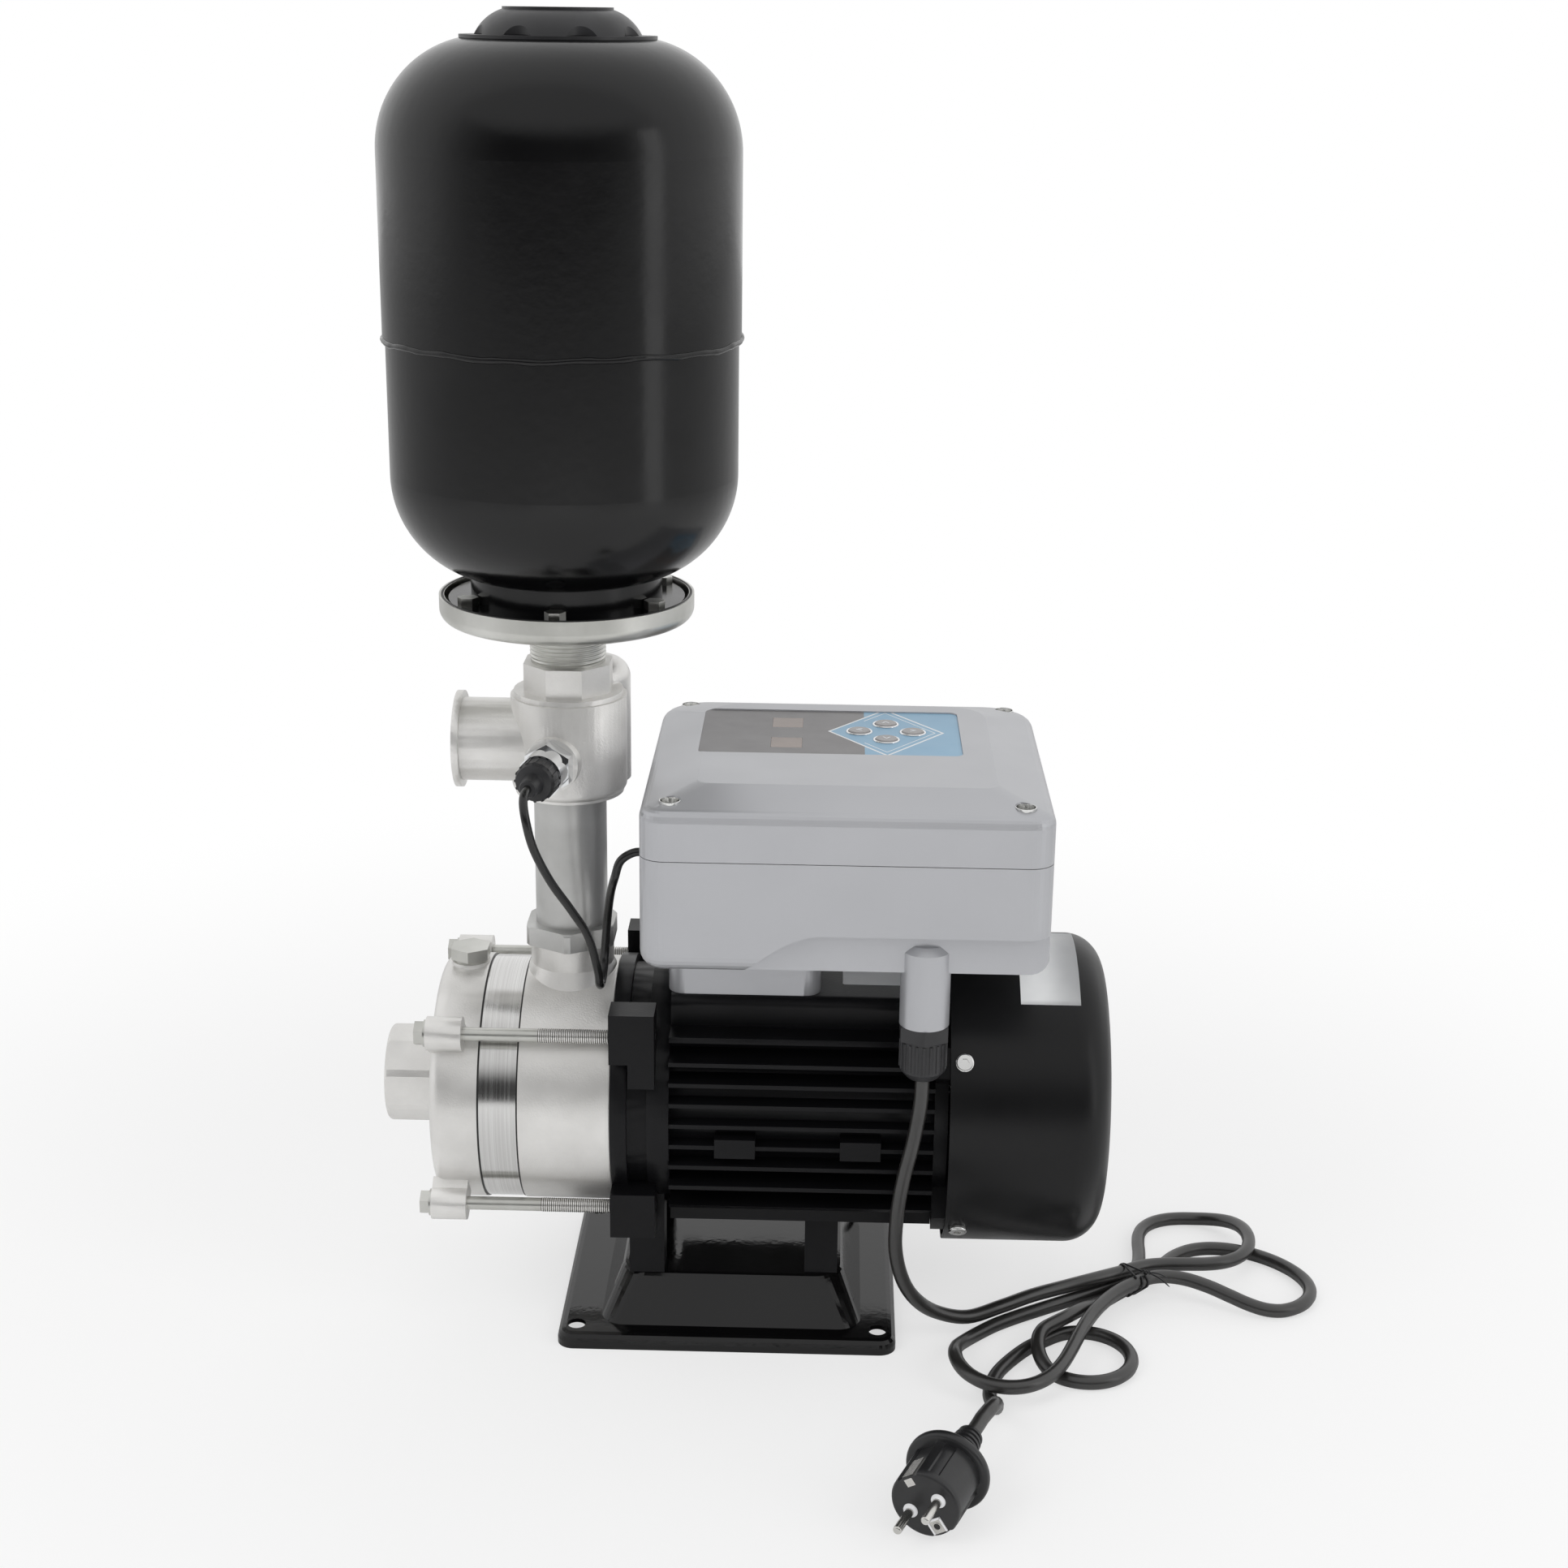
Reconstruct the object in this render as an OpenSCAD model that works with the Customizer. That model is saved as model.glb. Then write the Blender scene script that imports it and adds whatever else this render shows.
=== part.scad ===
// Horizontal multistage garden pump with pressure tank and speed controller.
// X runs along the shaft, from the suction port (-X) to the fan (+X). Z is up.
// The origin is on the floor, under the middle of the base.

/* [Layout] */
// Height of the shaft above the floor
axis_h = 140; // [138:1:168]
// Joint between pump and motor bracket, from the middle of the base
face_x = 69.5; // [62:0.5:76]
// Outlet and tank axis, from that joint towards the suction end
outlet_set = 28.5; // [27:0.5:30]

/* [Base] */
// Length of the base plate along the shaft
base_w = 204; // [200:1:250]
// Width of the base plate across the shaft
base_d = 172; // [166:1:210]
// Height of the rolled rim of the base plate
base_rim_h = 9; // [8:1:12]
// Height of the pedestal's top face
pedestal_h = 35; // [28:1:38]
// Thickness of the pressed steel sheet
base_sheet = 2.5; // [2:0.5:3]
// Diameter of the four floor bolt holes
base_hole_d = 11; // [8:0.5:12]
// Distance between the floor holes along the shaft
base_hole_x = 182; // [172:1:184]
// Distance between the floor holes across the shaft
base_hole_y = 144; // [130:1:148]

/* [Pump] */
// Outer diameter of the discharge casing
casing_d = 149; // [144:1:156]
// Length of the discharge casing
casing_len = 54.5; // [54:0.5:60]
// Length of the polished stage sleeve
sleeve_len = 24; // [22:1:30]
// Thickness of the suction cover
cover_len = 29; // [29:1:34]
// Wall of the pump castings
casing_wall = 4; // [3:0.5:5]
// Length of the suction port
port_len = 34; // [28:1:40]
// Distance across the flats of the suction port
port_af = 56; // [52:1:64]
// Thread hole of the suction and outlet ports
port_bore_d = 38.9; // [30:0.1:39]
// Half the distance between tie bolts across the pump
rod_y = 65; // [64:1:70]
// Half the distance between tie bolts in height
rod_z = 55; // [54:1:60]
// Diameter of the tie bolts
rod_d = 8; // [6:1:10]
// Diameter of the impellers
impeller_d = 104; // [96:1:112]
// Number of blades of an impeller
impeller_blades = 6; // [5:1:8]
// Number of return vanes of a diffuser
diffuser_vanes = 8; // [6:1:10]

/* [Motor] */
// Length of the bracket between pump and motor
bracket_len = 34.5; // [34:0.5:40]
// Length of the finned motor frame
frame_len = 156; // [150:1:190]
// Width of the frame over its fins
frame_size = 148; // [144:1:152]
// Distance from one cooling fin to the next
fin_pitch = 13.2; // [11:0.1:15]
// Thickness of a cooling fin
fin_t = 2.6; // [2:0.1:4]
// Thickness of the rear end shield
shield_len = 8; // [7:1:12]
// Diameter of the fan cover
fan_cover_d = 188; // [184:1:196]
// Length of the fan cover
fan_cover_len = 95; // [92:1:110]
// Number of fan blades
fan_blades = 9; // [5:1:11]
// Diameter of the shaft in the pump
shaft_d = 14; // [12:1:15]

/* [Riser and manifold] */
// Height of the outlet neck's rim above the shaft
neck_h = 92; // [90:1:96]
// Outer diameter of the riser pipe
riser_d = 43; // [41:0.5:43]
// Height of the manifold's underside above the shaft
manifold_z = 186; // [184:1:220]
// Diameter of the manifold body
manifold_d = 68; // [66:1:74]
// Reach of the side outlet from the manifold axis
outlet_len = 66; // [60:1:80]
// Diameter of the side outlet tube
outlet_d = 49; // [48:1:52]
// Opening lift of the check valve
valve_lift = 8; // [4:1:9]

/* [Tank] */
// Diameter of the pressure tank
tank_d = 200; // [180:1:220]
// Height of the tank between the tips of its two domes
tank_h = 305; // [280:1:360]
// Wall of the tank
tank_wall = 1.5; // [1:0.5:2]
// Diameter of the zinc-plated flange under the tank
flange_d = 147; // [144:1:152]
// Diameter of the cap on the tank
cap_d = 107; // [96:1:120]

/* [Controller] */
// Width of the controller housing along the shaft
box_w = 230; // [224:1:244]
// Depth of the controller housing across the shaft
box_d = 224; // [216:1:232]
// Height of the lower housing
box_h = 66; // [64:1:80]
// Height of the lid
lid_h = 36; // [34:1:44]
// Diameter of a push button
button_d = 13; // [10:0.5:14]
// Travel of a push button
button_travel = 0.8; // [0.5:0.1:0.9]

/* [Cord and cables] */
// Diameter of the mains cord
cord_d = 8.5; // [7:0.5:8.5]
// Diameter of the sensor cable
cable_d = 5; // [4:0.5:6]

/* [Hidden] */
$fn = 64;
hull_fn = 32;

// Overrun of every cut
cut = 1;
// Gap between pieces that are fixed together without a press
fit = 0.1;
// Gap between a soft or pressed piece and what carries it
seat = 0.3;
// Radial gap between a turning or sliding piece and its bore
run = 0.05;
// Thickness of the slabs that hulls are drawn between
thin = 0.02;

// Places along the shaft
pump_x = -face_x;
casing_x = pump_x - casing_len;
sleeve_x = casing_x - sleeve_len;
cover_x = sleeve_x - cover_len;
port_x = cover_x - port_len;
frame_x = pump_x + bracket_len;
shield_x = frame_x + frame_len;
fan_cover_x = shield_x + shield_len;
outlet_x = pump_x - outlet_set;

// Base
base_corner = 10;
rim_round = 5;
rim_angles = [0, 30, 60, 90];
pedestal_w = 128;
pedestal_d = 104;
pedestal_flare_w = 16;
pedestal_flare_d = 22;
pedestal_x = 2;
pedestal_corner = 14;
pedestal_round = 4;

// Bracket
bracket_r = casing_d / 2 + 1.6;
bracket_step = 9.5;
bracket_waist_r = casing_d / 2 - 3.4;
bracket_rear_r = 75;
bracket_rear = 13;
bracket_bore_r = 13;
bracket_recess = 9;
bracket_recess_r = 40;
lug_in = 8;
lug_out = 13;
lug_up = 19;
lug_down = 12;
lug_main_down = 27;
lug_low = 14;
lug_front = 12;
lug_end = 26.5;
leg_set = 9.5;
leg_len = 21;
leg_in = 34;
leg_w = 20;
leg_top = -42;
foot_bolt_r = 4;
foot_bolt_len = 14;
foot_head_r = 6.5;
foot_head_h = 5;
foot_bolt_y = 41;

// Motor frame
core_r = 64;
stator_r = 58;
half_size = frame_size / 2;
fin_env_r = half_size + 14;
fin_rows = 4;
fin_shift = 2.5;
deck_h = 75;
deck_w = 100;
deck_depth = 40;
deck_corner = 6;
rail_w = 116;
rail_top = -50;
rail_h = 16;
side_pad_starts = [27, 101];
side_pad_len = 24;
side_pad_h = 12;
side_pad_low = -17;
side_pad_w = 12;

// Rear foot under the motor frame
rear_foot_x = 46;
rear_foot_len = 20;
rear_foot_bottom_w = 100;
rear_foot_top_w = 84;
rear_foot_arch_r = 18;

// Shaft, bearings, rotor and stator
shaft_r = shaft_d / 2;
nose_r = 5;
bearing_seat_r = 10;
rotor_seat_r = 12;
rear_seat_r = 8.5;
fan_seat_r = 7;
bearing_w = 14;
bearing_r = 23.5;
rear_bearing_w = 12;
rear_bearing_r = 20;
bearing_shield = 0.8;
bearing_race = 3.5;
rotor_set = 36;
rotor_len = 84;
rotor_r = 34;
air_gap = 0.6;
stator_extra = 3;
winding_len = 16;
winding_in = 4;
winding_out = 3;

// End shield, fan and fan cover
shield_r = 72;
shield_spigot = 5;
shield_spigot_t = 6;
shield_hub_r = 27;
shield_hole_r = 9.5;
fan_r = 80;
fan_set = 22;
fan_disc_t = 2.5;
fan_blade_h = 22;
fan_blade_t = 2.4;
fan_hub_r = 16;
fan_hub_h = 26;
fan_cover_r = fan_cover_d / 2;
fan_cover_wall = 2;
fan_cover_round = 22;
fan_cover_flat = fan_cover_r - 6;
cover_screw_angles = [32, 148, 221, 319];
cover_screw_set = 8;
cover_screw_r = 2.5;
cover_screw_len = 20;
cover_head_r = 5.5;
cover_head_h = 2.6;
cover_socket_r = 2.6;
cover_socket_h = 1.6;
ear_in = 60;
ear_w = 18;
ear_len = 16;
grille_first_r = 14;
grille_pitch = 9.5;
grille_slot = 6;
grille_rings = 6;
grille_spoke = 7;
grille_spokes = 6;

// Pump castings
casing_r = casing_d / 2;
casing_in_r = casing_r - casing_wall;
casing_back = 6;
gasket_t = 1;
gasket_step = 0.5;
sleeve_step = 0.9;
sleeve_wall = 2.2;
neck_r = 25;
neck_flare_r = 31;
neck_flare_z = 66;
neck_flare_h = 12;
water_r = 18;
thread_engage = 18;
cover_edge = 8;
cover_face = 6;
inlet_boss = 4.5;
rod_r = rod_d / 2;
rod_lug_r = rod_r + 6;
rod_lug_len = 21;
rod_web_w = 16;
rod_web_share = 0.72;
priming_set = 17;
priming_r = 11.8;
priming_rise = 1.6;
priming_base = 55;
priming_hole_r = 8;
priming_plug_len = 8;
priming_washer_r = 11;
priming_washer_h = 1.5;
priming_af = 22;
priming_hex_h = 7;
port_edge = 2.5;
port_trim = 0.8;

// Tie bolts
bolt_af_share = 1.625;
bolt_head_h = 5.3;
washer_t = 1.6;
washer_r = rod_r + 4;
rod_end = 25;

// Stages
stage_r = casing_in_r - 4.4;
stage_wall = 2;
stage_set = cover_face + inlet_boss;
stage_pitch = 24.5;
stage_len = 24;
impeller_r = impeller_d / 2;
impeller_set = 1;
shroud_t = 1.6;
passage = 6;
eye_r = 20;
eye_wall = 1.5;
eye_neck = 2;
eye_gap = 0.6;
hub_r = 12;
hub_start = 2;
blade_t = 1.8;
blade_in_r = 19;
blade_curve_r = 34;
blade_offset = 25;
plate_t = 2;
plate_z = 11.2;
plate_r = 58;
vane_in_r = 24;
vane_curve_r = 40;
vane_offset = 30;
nut_af = 15;
nut_h = 7;
seal_hole_r = 17;
seal_seat_in_r = 8.6;
seal_head_r = 14;
seal_head_len = 10;
seal_spring_r = 11;

// Riser and check valve
riser_r = riser_d / 2;
riser_in_r = 18;
socket = 14;
lock_nut_h = 12;
lock_nut_af = 52;
lock_nut_edge = 2;
valve_z = 110;
valve_seat_h = 6;
valve_seat_in_r = 10.5;
valve_post_r = 1.6;
valve_post_at = 16;
valve_posts = 3;
valve_guide_z = 31;
valve_guide_h = 5;
valve_guide_r = 7;
valve_arm_w = 2.4;
valve_disc_r = 13;
valve_disc_h = 4;
valve_stem_r = 3;
valve_stem_h = 38;

// Manifold
manifold_h = 62;
manifold_r = manifold_d / 2;
manifold_edge = 6;
manifold_cavity_r = 28;
manifold_floor = 4;
shoulder_r = manifold_r - 2;
shoulder_h = 3;
collar_af = 50;
collar_h = 17;
outlet_z = 30;
outlet_rim_r = outlet_d / 2 + 4;
outlet_rim_len = 4;
outlet_thread_len = 32;
outlet_way_r = 14;
lobe_r = 22;
lobe_x = 12;
lobe_y = 27;
lobe_h = 74;
lobe_round = 12;

// Pressure sensor
sensor_yaw = -10;
sensor_z = 26;
sensor_boss_r = 16;
sensor_boss_end = 38;
sensor_thread_r = 6.5;
sensor_thread_start = 24;
sensor_af = 26;
sensor_hex_len = 9;
sensor_body_r = 12.8;
sensor_body_len = 14;
sensor_cap_r = 11.5;
sensor_cap_len = 12;
sensor_tip_r = 6;
sensor_tip_len = 11;

// Tank
tank_r = tank_d / 2;
tank_knuckle = 60;
tank_crown = 250;
flange_z = manifold_z + manifold_h + collar_h + 26;
flange_r = flange_d / 2;
flange_lip = 15;
flange_t = 3;
flange_round = 7;
nipple_r = riser_r;
nipple_in_r = 17.5;
nipple_len = 17;
nipple_gap = 26;
bladder_flange_t = 2;
bladder_flange_r = 68;
tank_z = 21;
tank_seam_share = 0.459;
seam_z = tank_h * tank_seam_share;
shell_overlap = 8;
neck_ring_r = 55;
neck_ring_flange_r = 68;
neck_ring_t = 8;
tank_mouth_r = 47;
flange_bolts = 6;
flange_bolt_at = 61;
flange_bolt_r = 3;
flange_bolt_head_r = 5.2;
flange_bolt_head_h = 5;
bladder_gap = 6;
bladder_t = 1.6;
bladder_neck_r = 40;
bladder_top = 20;
air_valve_r = 4;
air_valve_out = 7.5;
air_valve_in = 8;
air_valve_nut_r = 8;
air_valve_nut_h = 3;
cap_h = 16.4;
cap_rim_t = 2;
cap_side_r = 48;
cap_top_r = 30;
cap_wall = 2.2;
cap_space_r = 38;
cap_space_top_r = 26;
cap_arc_r = 26;
cap_lobes = 8;
cap_lobe_r = 15;
cap_lobe_at = 57;
cap_drop = 5.9;

// Controller
box_x = outlet_x + 164;
box_z = 115;
box_wall = 3;
box_floor = 4;
box_front_r = 14;
box_back_r = 30;
box_round = 10;
box_low_in = 7;
box_angles = [0, 15, 30, 45, 60, 75, 90];
seam = 0.4;
step_z = 24;
step_in = 9;
step_left = 56;
step_run = 46;
post_r = 6;
lid_round = 7;
lid_slope_h = 7;
lid_slope_in = 24;
lid_top = 5;
lid_screw_in_x = 17;
lid_screw_in_y = 14;
lid_screw_r = 2.2;
lid_screw_len = 16;
lid_head_r = 4.6;
lid_head_h = 3;
lid_well_r = 6;
lid_well_floor = 5;
panel_w = 154;
panel_d = 90;
panel_x = -10;
panel_y = 23;
panel_corner = 5;
panel_sink = 2.4;
panel_t = 1.6;
button_x = 23;
button_y = 26.5;
button_pitch = 16;
button_gap = 0.5;
button_rise = 1.4;
button_lift = 1;
button_stem_r = 3;
button_stem_len = 7;
window_w = 18.5;
window_d = 20;
window_x = -36;
window_y = 22.5;
window_pitch = 41;
board_z = 16;
board_t = 1.6;
board_in = 26;
board_parts = [[-60, 40, 34, 44, 22], [10, 50, 50, 26, 18], [-50, -40, 60, 30, 14],
  [40, -30, 24, 24, 20]];
pad_w = 90;
pad_d = 90;
pad_x = -58;
pad_corner = 10;
wire_hole_r = 15;

// Cable gland
gland_x = 46;
gland_in = 16;
gland_neck_r = 14.2;
gland_neck_low = -33;
gland_neck_top = 16;
gland_bore_r = 9;
gland_af = 27;
gland_hex_h = 9;
gland_nut_r = 13.2;
gland_nut_h = 19;
gland_tip_r = 9;
gland_tip_h = 5;
gland_seat = 20;
gland_bottom = -gland_hex_h - gland_nut_h - gland_tip_h;

// Steps of the shaft from the pump end to the fan: start, end and radius
stage_x = cover_x + stage_set;
shaft_steps = [
  [stage_x - nut_h + hub_start, stage_x + impeller_set + hub_start + cut, nose_r],
  [stage_x + impeller_set + hub_start, frame_x - bearing_w, shaft_r],
  [frame_x - bearing_w, frame_x, bearing_seat_r],
  [frame_x, shield_x - rear_bearing_w, rotor_seat_r],
  [shield_x - rear_bearing_w, fan_cover_x, rear_seat_r],
  [fan_cover_x, fan_cover_x + fan_set + fan_hub_h, fan_seat_r]
];

// Plug: middle of its face, and the direction its pins point to
plug_x = 112.8;
plug_y = -269;
plug_z = 22.4;
plug_heading = 245.9;
plug_tilt = 3;
plug_roll = 35;
plug_r = 19.5;
plug_body_len = 30;
plug_guard_r = 23.8;
plug_guard_len = 4;
plug_cone_len = 13;
plug_neck_r = 8.5;
plug_neck_len = 30;
plug_end_r = 6.5;
plug_flat = 17;
plug_flat_w = 12;
pin_r = 2.4;
pin_len = 19;
pin_pitch = 19;
pin_in = 8;
earth_w = 7;
earth_t = 1;
earth_len = 16;
plug_hole_len = 12;
plug_len = plug_body_len + plug_guard_len + plug_cone_len + plug_neck_len;
plug_axis = [cos(plug_heading) * cos(plug_tilt), sin(plug_heading) * cos(plug_tilt), -sin(plug_tilt)];

// Cord: four runs lie side by side and on each other in the tie, on the floor
cord_r = cord_d / 2;
cord_sides = 10;
loop_sides = 8;
loop_steps = 24;
loop_skip = 12;
first_side = [0.31, 0.17, 0.93];
tie_x = 250;
tie_y = -8;
tie_a = 38;
tie_w = 4;
tie_t = 1;
tie_lift = 1.4;
tie_runs = [[9.3, 0], [0, 0], [4.7, 1], [-9.5, 1]];
level_step = cord_d + 0.7;
floor_z = cord_r + 0.1;

// Loops: side, length, direction, spread, tip share, across at start and end,
// level at start and end, and where along the loop the level changes
loops = [
  [1, 110, 47, 28, 0.18, 4.7, 9.3, 1, 0, 0.36, 0.62],
  [-1, 160, 51, 14.5, 0.06, 9.3, -9.5, 0, 1, 0.25, 0.4],
  [1, 112, 8, 29, 0.2, -9.5, 0, 1, 0, 0.03, 0.3]
];
turn_r = 28;
turn_along = -78;
turn_across = -14;
turn_rise = [0.2, 0.8];
turn_fall = [25, 105];
slant_steps = 6;
turn_steps = 24;
loops_path = concat(
  [for (g = loops, i = [0 : loop_steps - 1]) loop_point(g, i / loop_steps)],
  [for (i = [0 : slant_steps - 1]) slant_point(i / slant_steps)],
  [for (i = [0 : turn_steps]) turn_point(i / turn_steps)]);

// Lead from the gland: offsets from its axis, with the share of its height
lead_start = [box_x + gland_x, gland_in - box_d / 2,
  axis_h + box_z + gland_neck_low + gland_bottom + gland_seat];
lead_offsets = [[0, 0], [0, 0], [-0.5, 0], [-4, 1], [-9, 2.5], [-12, 4.5], [-12, 8],
  [-7, 14], [2, 22], [15, 30], [34, 38]];
lead_height_shares = [1, 0.91, 0.82, 0.7, 0.58, 0.46, 0.345, 0.235, 0.15, 0.09, 0.055];
lead_path = curve(concat(
  [for (i = [0 : len(lead_offsets) - 1])
    [lead_start[0] + lead_offsets[i][0], lead_start[1] + lead_offsets[i][1],
      lead_start[2] * lead_height_shares[i]]],
  [at_tie(-89, 20.5, floor_z + 8.3), at_tie(-66, 18.2, floor_z + level_step),
    at_tie(-42, 14.3, floor_z + level_step), at_tie(-20, 8.4, floor_z + tie_lift + level_step),
    loops_path[0]]), 2);

// Tail from the small turn to the plug
tail_path = curve([turn_point(1), at_tie(-100, -15, floor_z), at_tie(-125, -22, floor_z),
  at_tie(-140, -30, floor_z), at_tie(-152, -41, floor_z + 0.1), at_tie(-161, -56, floor_z + 3.4),
  behind_plug(plug_len + 26) + [0.5, 0, -2.5], behind_plug(plug_len + 9), behind_plug(plug_len),
  behind_plug(plug_len - plug_hole_len)], 2);

// Sensor cable: from the sensor's tip down to a loop, then up to the housing's wall
cable_r = cable_d / 2;
cable_end_y = -60;
cable_end_z = 168;
sensor_end = sensor_boss_end + sensor_hex_len + sensor_body_len + sensor_cap_len + sensor_tip_len;
sensor_dir = [sin(sensor_yaw), -cos(sensor_yaw), 0];
sensor_tip = [outlet_x, 0, axis_h + manifold_z + sensor_z] + sensor_end * sensor_dir;
box_side = [box_x - box_w / 2, cable_end_y, axis_h + cable_end_z];
cable_loop = [pump_x - 7, -44, axis_h + 80];
cable_path = curve([sensor_tip - 8 * sensor_dir, sensor_tip + 2 * sensor_dir,
  sensor_tip + [-1, -11, -3], sensor_tip + [1, -17, -13], sensor_tip + [5, -16, -30],
  sensor_tip + [13, -7, -52], sensor_tip + [23, 6, -74], sensor_tip + [31, 17, -94],
  cable_loop + [-0.5, -14, 14], cable_loop + [0, -10, 4], cable_loop, cable_loop + [0.5, 10, 4],
  cable_loop + [1, 14, 14], cable_loop + [3, 10, 36], cable_loop + [6, 0, 56],
  box_side + [-17.5, 2, -16], box_side + [-14, 0.3, -5.5], box_side + [-6, 0, 0],
  box_side + [2, 0, 0]], 2);

// Shared forms

// Ring of one wall thickness along z
module tube(h, r_out, r_in) {
  difference() {
    cylinder(h = h, r = r_out);
    translate([0, 0, -cut])
      cylinder(h = h + 2 * cut, r = r_in);
  }
}

// Hexagon or octagon by its distance across flats
module flats(af, h, sides) {
  rotate([0, 0, 180 / sides])
    cylinder(h = h, r = af / 2 / cos(180 / sides), $fn = sides);
}

// Disc along z with its far edge rounded
module rounded_disc(h, r, round) {
  rotate_extrude() {
    square([r - round, h]);
    square([r, h - round]);
    intersection() {
      translate([r - round, h - round])
        circle(round);
      square([r, h]);
    }
  }
}

// Disc along z with its near edge rounded
module rounded_foot(h, r, round) {
  translate([0, 0, h])
    mirror([0, 0, 1])
      rounded_disc(h, r, round);
}

// Rounded rectangle with its own corner radius at the front and at the back
module rounded_rect(w, d, front_r, back_r) {
  for (s = [-1, 1]) {
    translate([s * (w / 2 - front_r), front_r - d / 2])
      circle(front_r);
    translate([s * (w / 2 - back_r), d / 2 - back_r])
      circle(back_r);
  }
  translate([front_r - w / 2, -d / 2])
    square([w - 2 * front_r, d / 2]);
  translate([-w / 2, front_r - d / 2])
    square([w, d - front_r - back_r]);
  translate([back_r - w / 2, 0])
    square([w - 2 * back_r, d / 2]);
}

// Thin slab of a rounded rectangle, drawn in from its full size
module slab(w, d, front_r, back_r, inset, z) {
  translate([0, 0, z])
    linear_extrude(thin)
      rounded_rect(w - 2 * inset, d - 2 * inset, front_r - inset, back_r - inset, $fn = hull_fn);
}

// Local x across the shaft, local y up from it, local z along it
module at_x(x) {
  translate([x, 0, axis_h])
    rotate([90, 0, 90])
      children();
}

// Places of the four tie bolts, in the frame of at_x
module at_rods() {
  for (sy = [-1, 1], sz = [-1, 1])
    translate([sy * rod_y, sz * rod_z, 0])
      children();
}

// Point on the outlet axis, by its height above the shaft
module at_outlet(z) {
  translate([outlet_x, 0, axis_h + z])
    children();
}

// Curved blades between two radii, each an arc of a circle beside the axis
module swept_blades(count, h, r_in, r_out, curve_r, offset, t) {
  linear_extrude(h)
    for (i = [0 : count - 1])
      rotate(i * 360 / count)
        intersection() {
          difference() {
            circle(r_out);
            circle(r_in);
          }
          translate([offset, 0])
            difference() {
              circle(curve_r);
              circle(curve_r - t);
            }
          translate([-r_out, 0])
            square([3 * r_out, 2 * r_out]);
        }
}

// Base

module base_pan(wall) {
  bend = rim_round - wall;
  hull() {
    slab(base_w, base_d, base_corner, base_corner, wall, wall > 0 ? -cut : 0);
    for (a = rim_angles)
      slab(base_w, base_d, base_corner, base_corner, wall + bend * (1 - cos(a)),
        base_rim_h - wall - bend * (1 - sin(a)) - thin);
  }
}

module pedestal(wall) {
  hull()
    translate([pedestal_x, 0, 0]) {
      slab(pedestal_w + 2 * pedestal_flare_w, pedestal_d + 2 * pedestal_flare_d,
        pedestal_corner, pedestal_corner, wall, base_rim_h - base_sheet - wall);
      for (a = rim_angles)
        slab(pedestal_w, pedestal_d, pedestal_corner, pedestal_corner,
          wall + pedestal_round * (1 - cos(a)) - pedestal_round,
          pedestal_h - wall - pedestal_round * (1 - sin(a)) - thin);
    }
}

// Places of the foot bolts: two under the bracket's legs, two under the rear foot
module at_foot_bolts() {
  for (x = [pump_x + leg_set + leg_len / 2, rear_foot_x + rear_foot_len / 2], s = [-1, 1])
    translate([x, s * foot_bolt_y, pedestal_h])
      children();
}

module base_plate() {
  color("#161618")
    difference() {
      union() {
        base_pan(0);
        pedestal(0);
      }
      base_pan(base_sheet);
      pedestal(base_sheet);
      for (sx = [-1, 1], sy = [-1, 1])
        translate([sx * base_hole_x / 2, sy * base_hole_y / 2, -cut])
          cylinder(h = base_rim_h + 2 * cut, r = base_hole_d / 2);
      at_foot_bolts()
        translate([0, 0, -base_sheet - cut])
          cylinder(h = base_sheet + 2 * cut, r = foot_bolt_r + fit);
    }
}

module foot_bolts() {
  color("#b9bbbd")
    at_foot_bolts() {
      translate([0, 0, -base_sheet - cut])
        cylinder(h = foot_bolt_len + base_sheet, r = foot_bolt_r);
      translate([0, 0, -base_sheet - foot_head_h])
        flats(2 * foot_head_r, foot_head_h, 6);
    }
}

// Motor

module bracket_lug(sy, z0, z1, x0, x1) {
  translate([sy > 0 ? rod_y - lug_in : -rod_y - lug_out, z0, x0])
    cube([lug_in + lug_out, z1 - z0, x1 - x0]);
}

module motor_bracket() {
  color("#1b1c1e")
    difference() {
      union() {
        at_x(pump_x) {
          cylinder(h = bracket_step, r = bracket_r);
          cylinder(h = bracket_len, r = bracket_waist_r);
          translate([0, 0, bracket_len - bracket_rear])
            cylinder(h = bracket_rear, r = bracket_rear_r);
          for (s = [-1, 1]) {
            bracket_lug(s, rod_z - lug_down, rod_z + lug_up, 0, lug_front);
            bracket_lug(s, rod_z - lug_main_down, rod_z + lug_up, lug_front - cut, lug_end);
            bracket_lug(s, -rod_z - lug_low, lug_low - rod_z, 0, lug_end);
          }
        }
        for (s = [-1, 1])
          translate([pump_x + leg_set, s > 0 ? leg_in : -leg_in - leg_w, pedestal_h])
            cube([leg_len, leg_w, axis_h + leg_top - pedestal_h]);
      }
      at_x(pump_x) {
        translate([0, 0, -cut])
          cylinder(h = bracket_recess + cut, r = bracket_recess_r);
        translate([0, 0, -cut])
          cylinder(h = bracket_len + 2 * cut, r = bracket_bore_r);
        translate([0, 0, bracket_len - bearing_w])
          cylinder(h = bearing_w + cut, r = bearing_r);
        at_rods()
          translate([0, 0, -cut])
            cylinder(h = lug_end + 2 * cut, r = rod_r);
      }
      at_foot_bolts()
        translate([0, 0, -cut])
          cylinder(h = foot_bolt_len + cut, r = foot_bolt_r);
    }
}

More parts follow.
